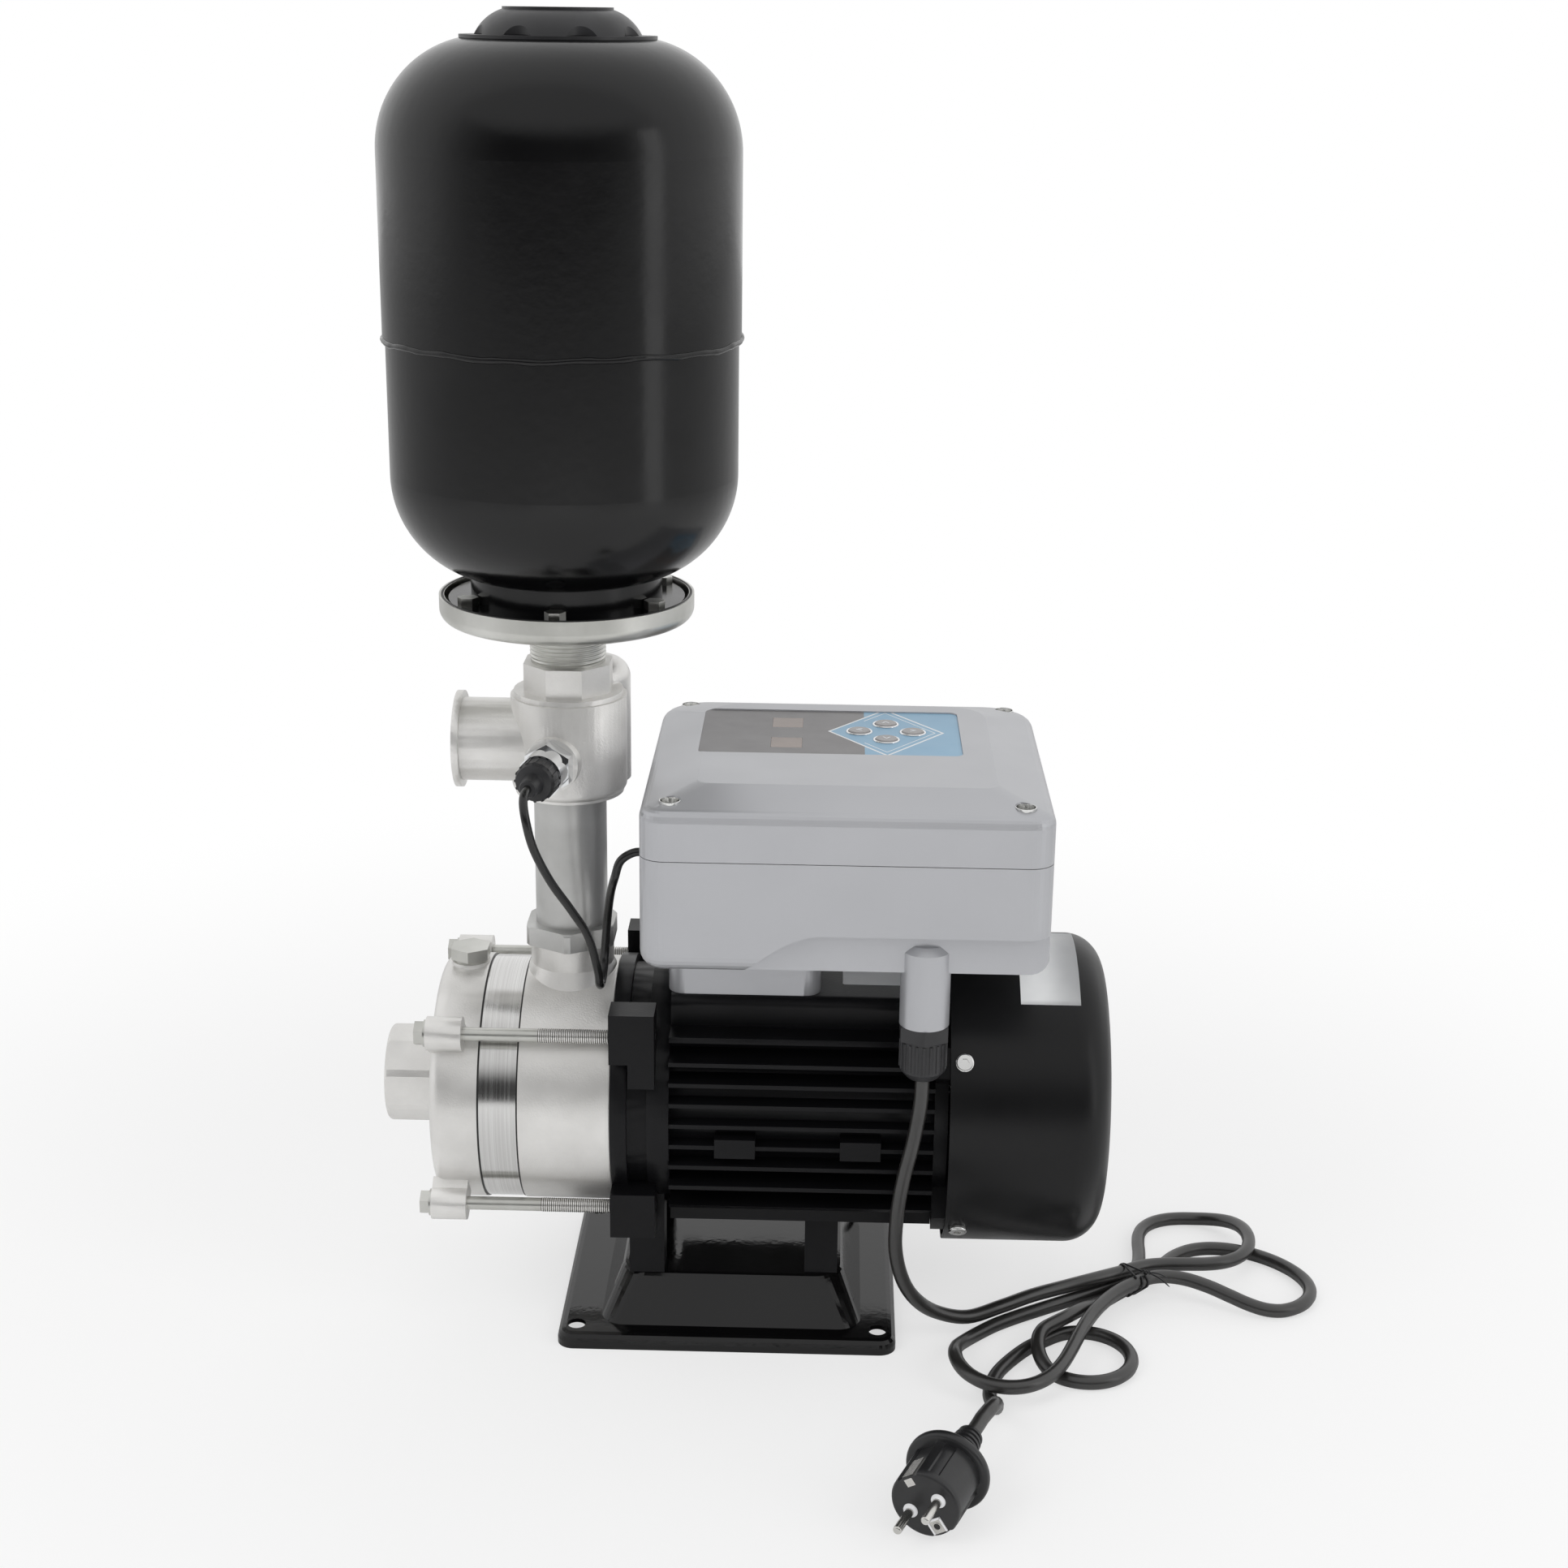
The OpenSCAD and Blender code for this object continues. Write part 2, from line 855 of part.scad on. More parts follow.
module frame_profile() {
  difference() {
    union() {
      circle(core_r);
      intersection() {
        circle(fin_env_r);
        for (k = [-fin_rows : fin_rows])
          translate([-half_size, k * fin_pitch + fin_shift - fin_t / 2])
            square([frame_size, fin_t]);
      }
      translate([0, deck_h - deck_depth / 2])
        rounded_rect(deck_w, deck_depth, deck_corner, deck_corner);
      translate([-rail_w / 2, rail_top - rail_h])
        square([rail_w, rail_h]);
    }
    circle(stator_r);
  }
}

module motor_frame() {
  color("#1b1c1e")
    at_x(frame_x) {
      linear_extrude(frame_len)
        frame_profile();
      for (start = side_pad_starts, s = [-1, 1])
        translate([s > 0 ? half_size - side_pad_w : -half_size - cut, side_pad_low, start])
          cube([side_pad_w + cut, side_pad_h, side_pad_len]);
    }
}

module rear_foot() {
  foot_top = axis_h + rail_top - rail_h;
  color("#1b1c1e")
    difference() {
      translate([rear_foot_x, 0, pedestal_h])
        rotate([90, 0, 90])
          linear_extrude(rear_foot_len)
            polygon([
              [-rear_foot_bottom_w / 2, 0],
              [rear_foot_bottom_w / 2, 0],
              [rear_foot_top_w / 2, foot_top - pedestal_h],
              [-rear_foot_top_w / 2, foot_top - pedestal_h]
            ]);
      translate([rear_foot_x - cut, 0, pedestal_h])
        rotate([0, 90, 0])
          cylinder(h = rear_foot_len + 2 * cut, r = rear_foot_arch_r);
      at_foot_bolts()
        translate([0, 0, -cut])
          cylinder(h = foot_bolt_len + cut, r = foot_bolt_r);
    }
}

module end_shield() {
  color("#1b1c1e")
    at_x(shield_x)
      difference() {
        union() {
          cylinder(h = shield_len, r = shield_r);
          translate([0, 0, -shield_spigot])
            cylinder(h = shield_spigot + cut, r = stator_r - fit);
          translate([0, 0, -rear_bearing_w])
            cylinder(h = rear_bearing_w, r = shield_hub_r);
          linear_extrude(shield_len + ear_len)
            intersection() {
              circle(fan_cover_r - fan_cover_wall - seat);
              for (a = cover_screw_angles)
                rotate(a)
                  translate([ear_in, -ear_w / 2])
                    square([fan_cover_r, ear_w]);
            }
        }
        translate([0, 0, -shield_spigot - cut])
          difference() {
            cylinder(h = shield_spigot + cut, r = stator_r - shield_spigot_t);
            cylinder(h = shield_spigot + cut, r = shield_hub_r);
          }
        translate([0, 0, -rear_bearing_w - cut])
          cylinder(h = rear_bearing_w + cut, r = rear_bearing_r);
        translate([0, 0, -cut])
          cylinder(h = shield_len + 2 * cut, r = shield_hole_r);
        for (a = cover_screw_angles)
          rotate([0, 0, a])
            translate([ear_in, 0, shield_len + cover_screw_set])
              rotate([0, 90, 0])
                cylinder(h = fan_cover_r, r = cover_screw_r);
      }
}

module fan_cover() {
  inner_r = fan_cover_r - fan_cover_wall;
  color("#161618")
    at_x(fan_cover_x)
      difference() {
        intersection() {
          rounded_disc(fan_cover_len, fan_cover_r, fan_cover_round);
          translate([-2 * fan_cover_r, -fan_cover_flat, -cut])
            cube([4 * fan_cover_r, 4 * fan_cover_r, fan_cover_len + 2 * cut]);
        }
        intersection() {
          translate([0, 0, -cut])
            rounded_disc(fan_cover_len - fan_cover_wall + cut, inner_r,
              fan_cover_round - fan_cover_wall);
          translate([-2 * fan_cover_r, fan_cover_wall - fan_cover_flat, -2 * cut])
            cube([4 * fan_cover_r, 4 * fan_cover_r, fan_cover_len + 2 * cut]);
        }
        translate([0, 0, fan_cover_len - fan_cover_wall - cut])
          linear_extrude(fan_cover_wall + 2 * cut)
            difference() {
              for (i = [0 : grille_rings - 1])
                difference() {
                  circle(grille_first_r + i * grille_pitch + grille_slot);
                  circle(grille_first_r + i * grille_pitch);
                }
              for (i = [0 : grille_spokes / 2 - 1])
                rotate(i * 360 / grille_spokes)
                  translate([-fan_cover_r, -grille_spoke / 2])
                    square([2 * fan_cover_r, grille_spoke]);
            }
        for (a = cover_screw_angles)
          rotate([0, 0, a])
            translate([ear_in, 0, cover_screw_set])
              rotate([0, 90, 0])
                cylinder(h = fan_cover_r, r = cover_screw_r + fit);
      }
}

module fan_cover_screws() {
  color("#c9cbcd")
    at_x(fan_cover_x)
      for (a = cover_screw_angles)
        rotate([0, 0, a])
          translate([fan_cover_r, 0, cover_screw_set])
            rotate([0, 90, 0])
              difference() {
                union() {
                  translate([0, 0, -cover_screw_len])
                    cylinder(h = cover_screw_len, r = cover_screw_r);
                  rounded_disc(cover_head_h, cover_head_r, cover_head_h / 2);
                }
                translate([0, 0, cover_head_h - cover_socket_h])
                  cylinder(h = cover_socket_h + cut, r = cover_socket_r, $fn = 6);
              }
}

module cooling_fan() {
  color("#26272a")
    at_x(fan_cover_x + fan_set)
      difference() {
        union() {
          cylinder(h = fan_hub_h, r = fan_hub_r);
          cylinder(h = fan_disc_t, r = fan_r - fan_disc_t);
          for (i = [0 : fan_blades - 1])
            rotate(i * 360 / fan_blades)
              translate([fan_hub_r - cut, -fan_blade_t / 2, 0])
                cube([fan_r - fan_hub_r + cut, fan_blade_t, fan_disc_t + fan_blade_h]);
        }
        translate([0, 0, -cut])
          cylinder(h = fan_hub_h + 2 * cut, r = fan_seat_r);
      }
}

module motor_shaft() {
  color("#c4c6c8")
    for (step = shaft_steps)
      at_x(step[0])
        cylinder(h = step[1] - step[0], r = step[2]);
}

module rotor_core() {
  color("#8d8f92")
    at_x(frame_x + rotor_set)
      tube(rotor_len, rotor_r, rotor_seat_r);
}

module stator_core() {
  color("#77797c")
    at_x(frame_x + rotor_set - stator_extra)
      tube(rotor_len + 2 * stator_extra, stator_r, rotor_r + air_gap);
}

module stator_windings() {
  stack = rotor_len + 2 * stator_extra;
  color("#b5662c")
    at_x(frame_x + rotor_set - stator_extra)
      for (z = [-winding_len, stack])
        translate([0, 0, z])
          tube(winding_len, stator_r - winding_out, rotor_r + winding_in);
}

// Deep-groove bearing with shields set in a little on both sides
module bearing(w, r_out, r_in) {
  rotate_extrude()
    translate([r_in, 0])
      difference() {
        square([r_out - r_in, w]);
        for (z = [-cut, w - bearing_shield])
          translate([bearing_race, z])
            square([r_out - r_in - 2 * bearing_race, bearing_shield + cut]);
      }
}

module drive_end_bearing() {
  color("#c4c6c8")
    at_x(frame_x - bearing_w)
      bearing(bearing_w, bearing_r, bearing_seat_r + run);
}

module fan_end_bearing() {
  color("#c4c6c8")
    at_x(shield_x - rear_bearing_w)
      bearing(rear_bearing_w, rear_bearing_r, rear_seat_r + run);
}

// Pump

module pump_casing() {
  color("#b9b7b2")
    difference() {
      union() {
        at_x(casing_x)
          rounded_disc(casing_len, casing_r, gasket_t);
        at_outlet(0)
          cylinder(h = neck_h, r = neck_r);
        intersection() {
          at_outlet(neck_flare_z)
            cylinder(h = neck_flare_h, r1 = neck_flare_r, r2 = neck_r);
          at_x(casing_x)
            cylinder(h = casing_len, r = 2 * casing_r);
        }
      }
      at_x(casing_x) {
        translate([0, 0, -cut])
          cylinder(h = casing_len - casing_back + cut, r = casing_in_r);
        cylinder(h = casing_len + cut, r = seal_hole_r);
      }
      at_outlet(0)
        cylinder(h = neck_h + cut, r = water_r);
      at_outlet(neck_h - thread_engage)
        cylinder(h = thread_engage + cut, r = riser_r);
    }
}

module stage_sleeve() {
  color("#c9c8c5")
    at_x(sleeve_x + gasket_t)
      tube(sleeve_len - 2 * gasket_t, casing_r - sleeve_step,
        casing_r - sleeve_step - sleeve_wall);
}

module casing_gaskets() {
  color("#131314")
    for (x = [sleeve_x, casing_x - gasket_t])
      at_x(x)
        tube(gasket_t, casing_r - gasket_step, casing_in_r);
}

module suction_cover() {
  color("#b9b7b2")
    difference() {
      union() {
        at_x(cover_x) {
          difference() {
            rounded_foot(cover_len, casing_r, cover_edge);
            translate([0, 0, cover_face])
              cylinder(h = cover_len, r = casing_in_r);
          }
          cylinder(h = stage_set, r = stage_r);
          at_rods()
            cylinder(h = rod_lug_len, r = rod_lug_r);
          for (sy = [-1, 1], sz = [-1, 1])
            linear_extrude(rod_lug_len)
              difference() {
                rotate(atan2(sz * rod_z, sy * rod_y))
                  translate([casing_r * rod_web_share, -rod_web_w / 2])
                    square([norm([rod_y, rod_z]) - casing_r * rod_web_share, rod_web_w]);
                circle(casing_r - casing_wall / 2);
              }
        }
        at_x(port_x)
          intersection() {
            flats(port_af, port_len + cover_face, 8);
            rounded_foot(port_len + cover_face, port_af / 2 / cos(22.5) - port_trim, port_edge);
          }
        difference() {
          translate([cover_x + priming_set, 0, axis_h + priming_base])
            cylinder(h = casing_r + priming_rise - priming_base, r = priming_r);
          at_x(cover_x)
            cylinder(h = 2 * cover_len, r = casing_in_r);
        }
      }
      at_x(port_x)
        translate([0, 0, -cut])
          cylinder(h = port_len + cover_face + cut, r = port_bore_d / 2);
      at_x(cover_x)
        translate([0, 0, cover_face - cut])
          cylinder(h = stage_set, r = eye_r + eye_gap);
      at_x(cover_x)
        at_rods()
          translate([0, 0, -cut])
            cylinder(h = rod_lug_len + 2 * cut, r = rod_r + fit);
      translate([cover_x + priming_set, 0, axis_h + priming_base])
        cylinder(h = casing_r, r = priming_hole_r);
    }
}

// Closed impeller: front shroud with its eye ring, swept blades, back shroud with its hub
module impeller() {
  back_z = shroud_t + passage;
  hub_end = hub_start + stage_pitch - fit;
  color("#a9abac") {
    rotate_extrude() {
      polygon([
        [eye_r - eye_wall, -eye_neck],
        [eye_r, -eye_neck],
        [eye_r, 0],
        [impeller_r, 0],
        [impeller_r, shroud_t],
        [eye_r - eye_wall, shroud_t]
      ]);
      polygon([
        [shaft_r, hub_start],
        [hub_r, hub_start],
        [hub_r, back_z],
        [impeller_r, back_z],
        [impeller_r, back_z + shroud_t],
        [hub_r, back_z + shroud_t],
        [hub_r, hub_end],
        [shaft_r, hub_end]
      ]);
    }
    translate([0, 0, shroud_t / 2])
      swept_blades(impeller_blades, passage + shroud_t, blade_in_r, impeller_r - blade_t,
        blade_curve_r, blade_offset, blade_t);
  }
}

module impeller_1() {
  at_x(stage_x + impeller_set)
    impeller();
}

module impeller_2() {
  at_x(stage_x + impeller_set + stage_pitch)
    impeller();
}

module impeller_nut() {
  color("#c4c6c8")
    at_x(stage_x - nut_h + impeller_set + hub_start)
      difference() {
        flats(nut_af, nut_h, 6);
        translate([0, 0, -cut])
          cylinder(h = nut_h + 2 * cut, r = nose_r);
      }
}

// Stage cup: wall, plate behind the impeller, return vanes and end plate
module diffuser() {
  color("#2b2c2e")
    difference() {
      union() {
        tube(stage_len, stage_r, stage_r - stage_wall);
        translate([0, 0, plate_z])
          cylinder(h = plate_t, r = plate_r);
        translate([0, 0, plate_z + cut])
          swept_blades(diffuser_vanes, stage_len - plate_z - 2 * cut, vane_in_r,
            stage_r - cut, vane_curve_r, vane_offset, blade_t);
        translate([0, 0, stage_len - plate_t])
          tube(plate_t, stage_r - cut, eye_r + eye_gap);
      }
      translate([0, 0, -cut])
        cylinder(h = stage_len + 2 * cut, r = hub_r + eye_gap);
    }
}

module diffuser_1() {
  at_x(stage_x + fit)
    diffuser();
}

module diffuser_2() {
  at_x(stage_x + stage_pitch + fit)
    diffuser();
}

module seal_seat() {
  color("#3a3a3c")
    at_x(pump_x - casing_back)
      tube(casing_back, seal_hole_r, seal_seat_in_r);
}

module seal_ring() {
  seal_start = stage_x + impeller_set + hub_start + 2 * stage_pitch;
  seal_end = pump_x - casing_back - run;
  color("#2a2a2c")
    at_x(seal_start)
      difference() {
        union() {
          cylinder(h = seal_end - seal_start, r = seal_spring_r);
          translate([0, 0, seal_end - seal_start - seal_head_len])
            cylinder(h = seal_head_len, r = seal_head_r);
        }
        translate([0, 0, -cut])
          cylinder(h = seal_end - seal_start + 2 * cut, r = shaft_r);
      }
}

module priming_plug() {
  color("#b9bbbd")
    translate([cover_x + priming_set, 0, axis_h + casing_r + priming_rise]) {
      translate([0, 0, -priming_plug_len])
        cylinder(h = priming_plug_len + cut, r = priming_hole_r);
      cylinder(h = priming_washer_h, r = priming_washer_r);
      translate([0, 0, priming_washer_h])
        flats(priming_af, priming_hex_h, 6);
    }
}

module tie_bolts() {
  color("#c4c6c8")
    at_x(cover_x)
      at_rods() {
        translate([0, 0, -washer_t - cut])
          cylinder(h = pump_x - cover_x + rod_end + washer_t + cut, r = rod_r);
        translate([0, 0, -washer_t])
          cylinder(h = washer_t, r = washer_r);
        translate([0, 0, -washer_t - bolt_head_h])
          flats(rod_d * bolt_af_share, bolt_head_h, 6);
      }
}

// Riser, check valve and manifold

module lock_nut() {
  color("#bcbab6")
    at_outlet(neck_h)
      difference() {
        intersection() {
          flats(lock_nut_af, lock_nut_h, 6);
          rounded_disc(lock_nut_h, lock_nut_af / 2 / cos(30) - lock_nut_edge / 2, lock_nut_edge);
        }
        translate([0, 0, -cut])
          cylinder(h = lock_nut_h + 2 * cut, r = riser_r);
      }
}

module riser_pipe() {
  color("#bcbab6")
    at_outlet(neck_h - thread_engage)
      tube(manifold_z + socket - neck_h + thread_engage, riser_r, riser_in_r);
}

// Seat ring, posts and stem guide, held in the riser
module check_valve_cage() {
  color("#d8d6cf")
    at_outlet(valve_z)
      difference() {
        union() {
          cylinder(h = valve_seat_h, r = riser_in_r);
          for (i = [0 : valve_posts - 1])
            rotate(i * 360 / valve_posts) {
              translate([valve_post_at, 0, valve_seat_h - cut])
                cylinder(h = valve_guide_z + valve_guide_h - valve_seat_h + cut, r = valve_post_r);
              translate([0, -valve_arm_w / 2, valve_guide_z + valve_post_r / 2])
                cube([valve_post_at, valve_arm_w, valve_guide_h - valve_post_r]);
            }
          translate([0, 0, valve_guide_z])
            cylinder(h = valve_guide_h, r = valve_guide_r);
        }
        translate([0, 0, -cut])
          cylinder(h = valve_seat_h + 2 * cut, r = valve_seat_in_r);
        translate([0, 0, valve_guide_z - cut])
          cylinder(h = valve_guide_h + 2 * cut, r = valve_stem_r + run);
      }
}

module check_valve_poppet() {
  color("#c9a24a")
    at_outlet(valve_z + valve_seat_h + run) {
      cylinder(h = valve_disc_h, r = valve_disc_r);
      cylinder(h = valve_stem_h, r = valve_stem_r);
    }
}

// Local z points out of the manifold along the sensor, from the outlet axis
module at_sensor() {
  at_outlet(manifold_z + sensor_z)
    rotate([90, 0, sensor_yaw])
      children();
}

module manifold() {
  color("#b9b7b2")
    difference() {
      union() {
        at_outlet(manifold_z) {
          rounded_foot(manifold_h - shoulder_h, manifold_r, manifold_edge);
          cylinder(h = manifold_h, r = shoulder_r);
          flats(collar_af, manifold_h + collar_h, 8);
          translate([0, 0, outlet_z])
            rotate([0, -90, 0]) {
              cylinder(h = outlet_len, r = outlet_d / 2);
              translate([0, 0, outlet_len - outlet_rim_len])
                cylinder(h = outlet_rim_len, r = outlet_rim_r);
            }
          translate([lobe_x, lobe_y, 0])
            rounded_disc(lobe_h, lobe_r, lobe_round);
        }
        at_sensor()
          cylinder(h = sensor_boss_end, r = sensor_boss_r);
      }
      at_outlet(manifold_z) {
        translate([0, 0, -cut])
          cylinder(h = socket + cut, r = riser_r);
        cylinder(h = manifold_h, r = water_r);
        translate([0, 0, socket + manifold_floor])
          cylinder(h = manifold_h - socket - 2 * manifold_floor, r = manifold_cavity_r);
        translate([0, 0, manifold_h + collar_h - nipple_len])
          cylinder(h = nipple_len + cut, r = nipple_r);
        translate([0, 0, outlet_z])
          rotate([0, -90, 0]) {
            cylinder(h = outlet_len, r = outlet_way_r);
            translate([0, 0, outlet_len - outlet_thread_len])
              cylinder(h = outlet_thread_len + cut, r = port_bore_d / 2);
          }
      }
      at_sensor()
        cylinder(h = sensor_boss_end + cut, r = sensor_thread_r);
    }
}

module pressure_sensor() {
  color("#cfd0d1")
    at_sensor() {
      translate([0, 0, sensor_thread_start])
        cylinder(h = sensor_boss_end - sensor_thread_start + cut, r = sensor_thread_r);
      translate([0, 0, sensor_boss_end])
        flats(sensor_af, sensor_hex_len, 6);
      translate([0, 0, sensor_boss_end + sensor_hex_len - cut])
        cylinder(h = sensor_body_len + cut, r = sensor_body_r);
    }
}

// Tank

// Half section of one domed end with its tip at the origin
module dome_section(r, knuckle, crown) {
  rise = crown - sqrt(pow(crown - knuckle, 2) - pow(r - knuckle, 2));
  reach = 1.1 * crown / (crown - knuckle);
  intersection() {
    square([r, rise]);
    union() {
      translate([r - knuckle, rise])
        circle(knuckle);
      intersection() {
        translate([0, crown])
          circle(crown);
        polygon([[0, crown], [0, -cut], [reach * (r - knuckle), crown - reach * (crown - rise)]]);
      }
    }
  }
}

// Half section of a tank with two domed ends, standing on its lower tip
module vessel_section(r, h, knuckle, crown) {
  rise = crown - sqrt(pow(crown - knuckle, 2) - pow(r - knuckle, 2));
  dome_section(r, knuckle, crown);
  translate([0, rise])
    square([r, h - 2 * rise]);
  translate([0, h])
    mirror([0, 1])
      dome_section(r, knuckle, crown);
}

// Wall between an outer vessel and the same vessel drawn in
module shell_section(r, h, knuckle, crown, wall) {
  difference() {
    vessel_section(r, h, knuckle, crown);
    translate([0, wall])
      vessel_section(r - wall, h - 2 * wall, knuckle - wall, crown - wall);
  }
}

module tank_flange() {
  color("#c9ccc9")
    at_outlet(flange_z)
      difference() {
        union() {
          translate([0, 0, -nipple_gap - nipple_len])
            cylinder(h = nipple_gap + nipple_len + cut, r = nipple_r);
          difference() {
            rounded_foot(flange_lip, flange_r, flange_round);
            translate([0, 0, flange_t])
              rounded_foot(flange_lip, flange_r - flange_t, flange_round - flange_t);
          }
        }
        translate([0, 0, -nipple_gap - nipple_len - cut])
          cylinder(h = nipple_gap + nipple_len + flange_t + 2 * cut, r = nipple_in_r);
        for (i = [0 : flange_bolts - 1])
          rotate((i + 0.5) * 360 / flange_bolts)
            translate([flange_bolt_at, 0, -cut])
              cylinder(h = flange_t + 2 * cut, r = flange_bolt_r);
      }
}

module flange_bolts() {
  head_z = flange_t + bladder_flange_t + neck_ring_t;
  color("#c9ccc9")
    at_outlet(flange_z)
      for (i = [0 : flange_bolts - 1])
        rotate((i + 0.5) * 360 / flange_bolts)
          translate([flange_bolt_at, 0, 0]) {
            cylinder(h = head_z + cut, r = flange_bolt_r);
            translate([0, 0, head_z])
              flats(2 * flange_bolt_head_r, flange_bolt_head_h, 6);
          }
}

module tank_lower_shell() {
  ring_z = flange_t + bladder_flange_t;
  color("#121214")
    at_outlet(flange_z)
      difference() {
        rotate_extrude($fn = 96)
          difference() {
            union() {
              translate([0, tank_z])
                intersection() {
                  shell_section(tank_r - tank_wall, tank_h, tank_knuckle, tank_crown, tank_wall);
                  square([tank_r, seam_z + shell_overlap]);
                }
              difference() {
                translate([0, ring_z])
                  square([neck_ring_r, 2 * tank_z - ring_z]);
                translate([0, tank_z + tank_wall])
                  vessel_section(tank_r - 2 * tank_wall, tank_h, tank_knuckle, tank_crown);
              }
              translate([0, ring_z])
                square([neck_ring_flange_r, neck_ring_t]);
            }
            square([tank_mouth_r, 2 * tank_z]);
          }
        for (i = [0 : flange_bolts - 1])
          rotate((i + 0.5) * 360 / flange_bolts)
            translate([flange_bolt_at, 0, ring_z - cut])
              cylinder(h = neck_ring_t + 2 * cut, r = flange_bolt_r);
      }
}

module tank_upper_shell() {
  color("#121214")
    at_outlet(flange_z + tank_z)
      difference() {
        rotate_extrude($fn = 96)
          intersection() {
            shell_section(tank_r, tank_h, tank_knuckle, tank_crown, tank_wall);
            translate([0, seam_z])
              square([tank_r, tank_h]);
          }
        translate([0, 0, tank_h - tank_wall - cut])
          cylinder(h = tank_wall + 2 * cut, r = air_valve_r);
      }
}

module tank_bladder() {
  bag_r = tank_r - 2 * tank_wall - bladder_gap;
  bag_h = tank_h - bladder_gap - bladder_top;
  bag_z = tank_z + tank_wall + bladder_gap;
  color("#2b2b2b")
    at_outlet(flange_z)
      rotate_extrude()
        difference() {
          union() {
            translate([0, bag_z])
              vessel_section(bag_r, bag_h, tank_knuckle - bladder_gap, tank_crown);
            translate([0, flange_t])
              square([bladder_neck_r, bag_z]);
            translate([0, flange_t])
              square([bladder_flange_r - flange_bolt_r - 2 * flange_bolt_head_r, bladder_flange_t]);
          }
          translate([0, bag_z + bladder_t])
            vessel_section(bag_r - bladder_t, bag_h - 2 * bladder_t,
              tank_knuckle - bladder_gap - bladder_t, tank_crown - bladder_t);
          square([bladder_neck_r - bladder_t, bag_z + tank_z]);
        }
}

module air_valve() {
  color("#b9bbbd")
    at_outlet(flange_z + tank_z + tank_h) {
      translate([0, 0, -air_valve_in])
        cylinder(h = air_valve_in + air_valve_out, r = air_valve_r);
      cylinder(h = air_valve_nut_h, r = air_valve_nut_r);
    }
}

module cap_section() {
  intersection() {
    square([cap_side_r, cap_h]);
    union() {
      square([cap_top_r, cap_h]);
      translate([cap_side_r - cap_arc_r, cap_h - cap_arc_r])
        circle(cap_arc_r);
    }
  }
}

module tank_cap() {
  color("#2a2a2b")
    at_outlet(flange_z + tank_z + tank_h - cap_drop)
      difference() {
        union() {
          difference() {
            rotate_extrude()
              cap_section();
            for (i = [0 : cap_lobes - 1])
              rotate((i + 0.5) * 360 / cap_lobes)
                translate([cap_lobe_at, 0, cap_rim_t])
                  cylinder(h = cap_h, r = cap_lobe_r);
          }
          cylinder(h = cap_rim_t, r = cap_d / 2);
        }
        translate([0, 0, -cut])
          cylinder(h = cap_h / 2 + cut, r = cap_space_r);
        cylinder(h = cap_h - cap_wall, r = cap_space_top_r);
        translate([0, 0, cap_drop - tank_crown])
          sphere(tank_crown + fit, $fn = 180);
      }
}

// Controller

// Place in the controller's frame, by height above its underside
module at_box(z) {
  translate([box_x, 0, axis_h + box_z + z])
    children();
}

module housing_form() {
  hull() {
    slab(box_w, box_d, box_front_r, box_back_r, 0, box_h - thin);
    for (a = box_angles)
      slab(box_w, box_d, box_front_r, box_back_r, box_round * (1 - cos(a)),
        box_round * (1 - sin(a)));
  }
}

// Space in the housing or lid, from one height to another
module box_space(inset, z0, z1) {
  translate([0, 0, z0])
    linear_extrude(z1 - z0)
      rounded_rect(box_w - 2 * inset, box_d - 2 * inset, box_front_r - min(inset, box_wall),
        box_back_r - min(inset, box_wall));
}

// Space in front of the set-back lower right part of the housing
module step_space(grow) {
  translate([0, step_in + grow - box_d / 2, 0])
    rotate([90, 0, 0])
      linear_extrude(step_in + grow + cut)
        polygon(concat(
          [for (t = [0 : 0.125 : 1])
            [step_left - box_w / 2 - grow + step_run * t, (step_z + grow + cut) * sin(90 * t) - cut]],
          [[box_w, step_z + grow], [box_w, -cut]]
        ));
}

module at_lid_screws() {
  for (sx = [-1, 1], sy = [-1, 1])
    translate([sx * (box_w / 2 - lid_screw_in_x), sy * (box_d / 2 - lid_screw_in_y), 0])
      children();
}

module at_board_posts() {
  for (sx = [-1, 1], sy = [-1, 1])
    translate([sx * (box_w / 2 - board_in - 2 * post_r), sy * (box_d / 2 - board_in - 2 * post_r), 0])
      children();
}

module at_gland() {
  translate([box_x + gland_x, gland_in - box_d / 2, axis_h + box_z + gland_neck_low])
    children();
}

module controller_pad() {
  color("#a9abb1")
    at_box(deck_h - box_z)
      translate([pad_x, 0, 0])
        difference() {
          linear_extrude(box_z - deck_h)
            rounded_rect(pad_w, pad_d, pad_corner, pad_corner);
          translate([0, 0, -cut])
            cylinder(h = box_z - deck_h + 2 * cut, r = wire_hole_r);
        }
}

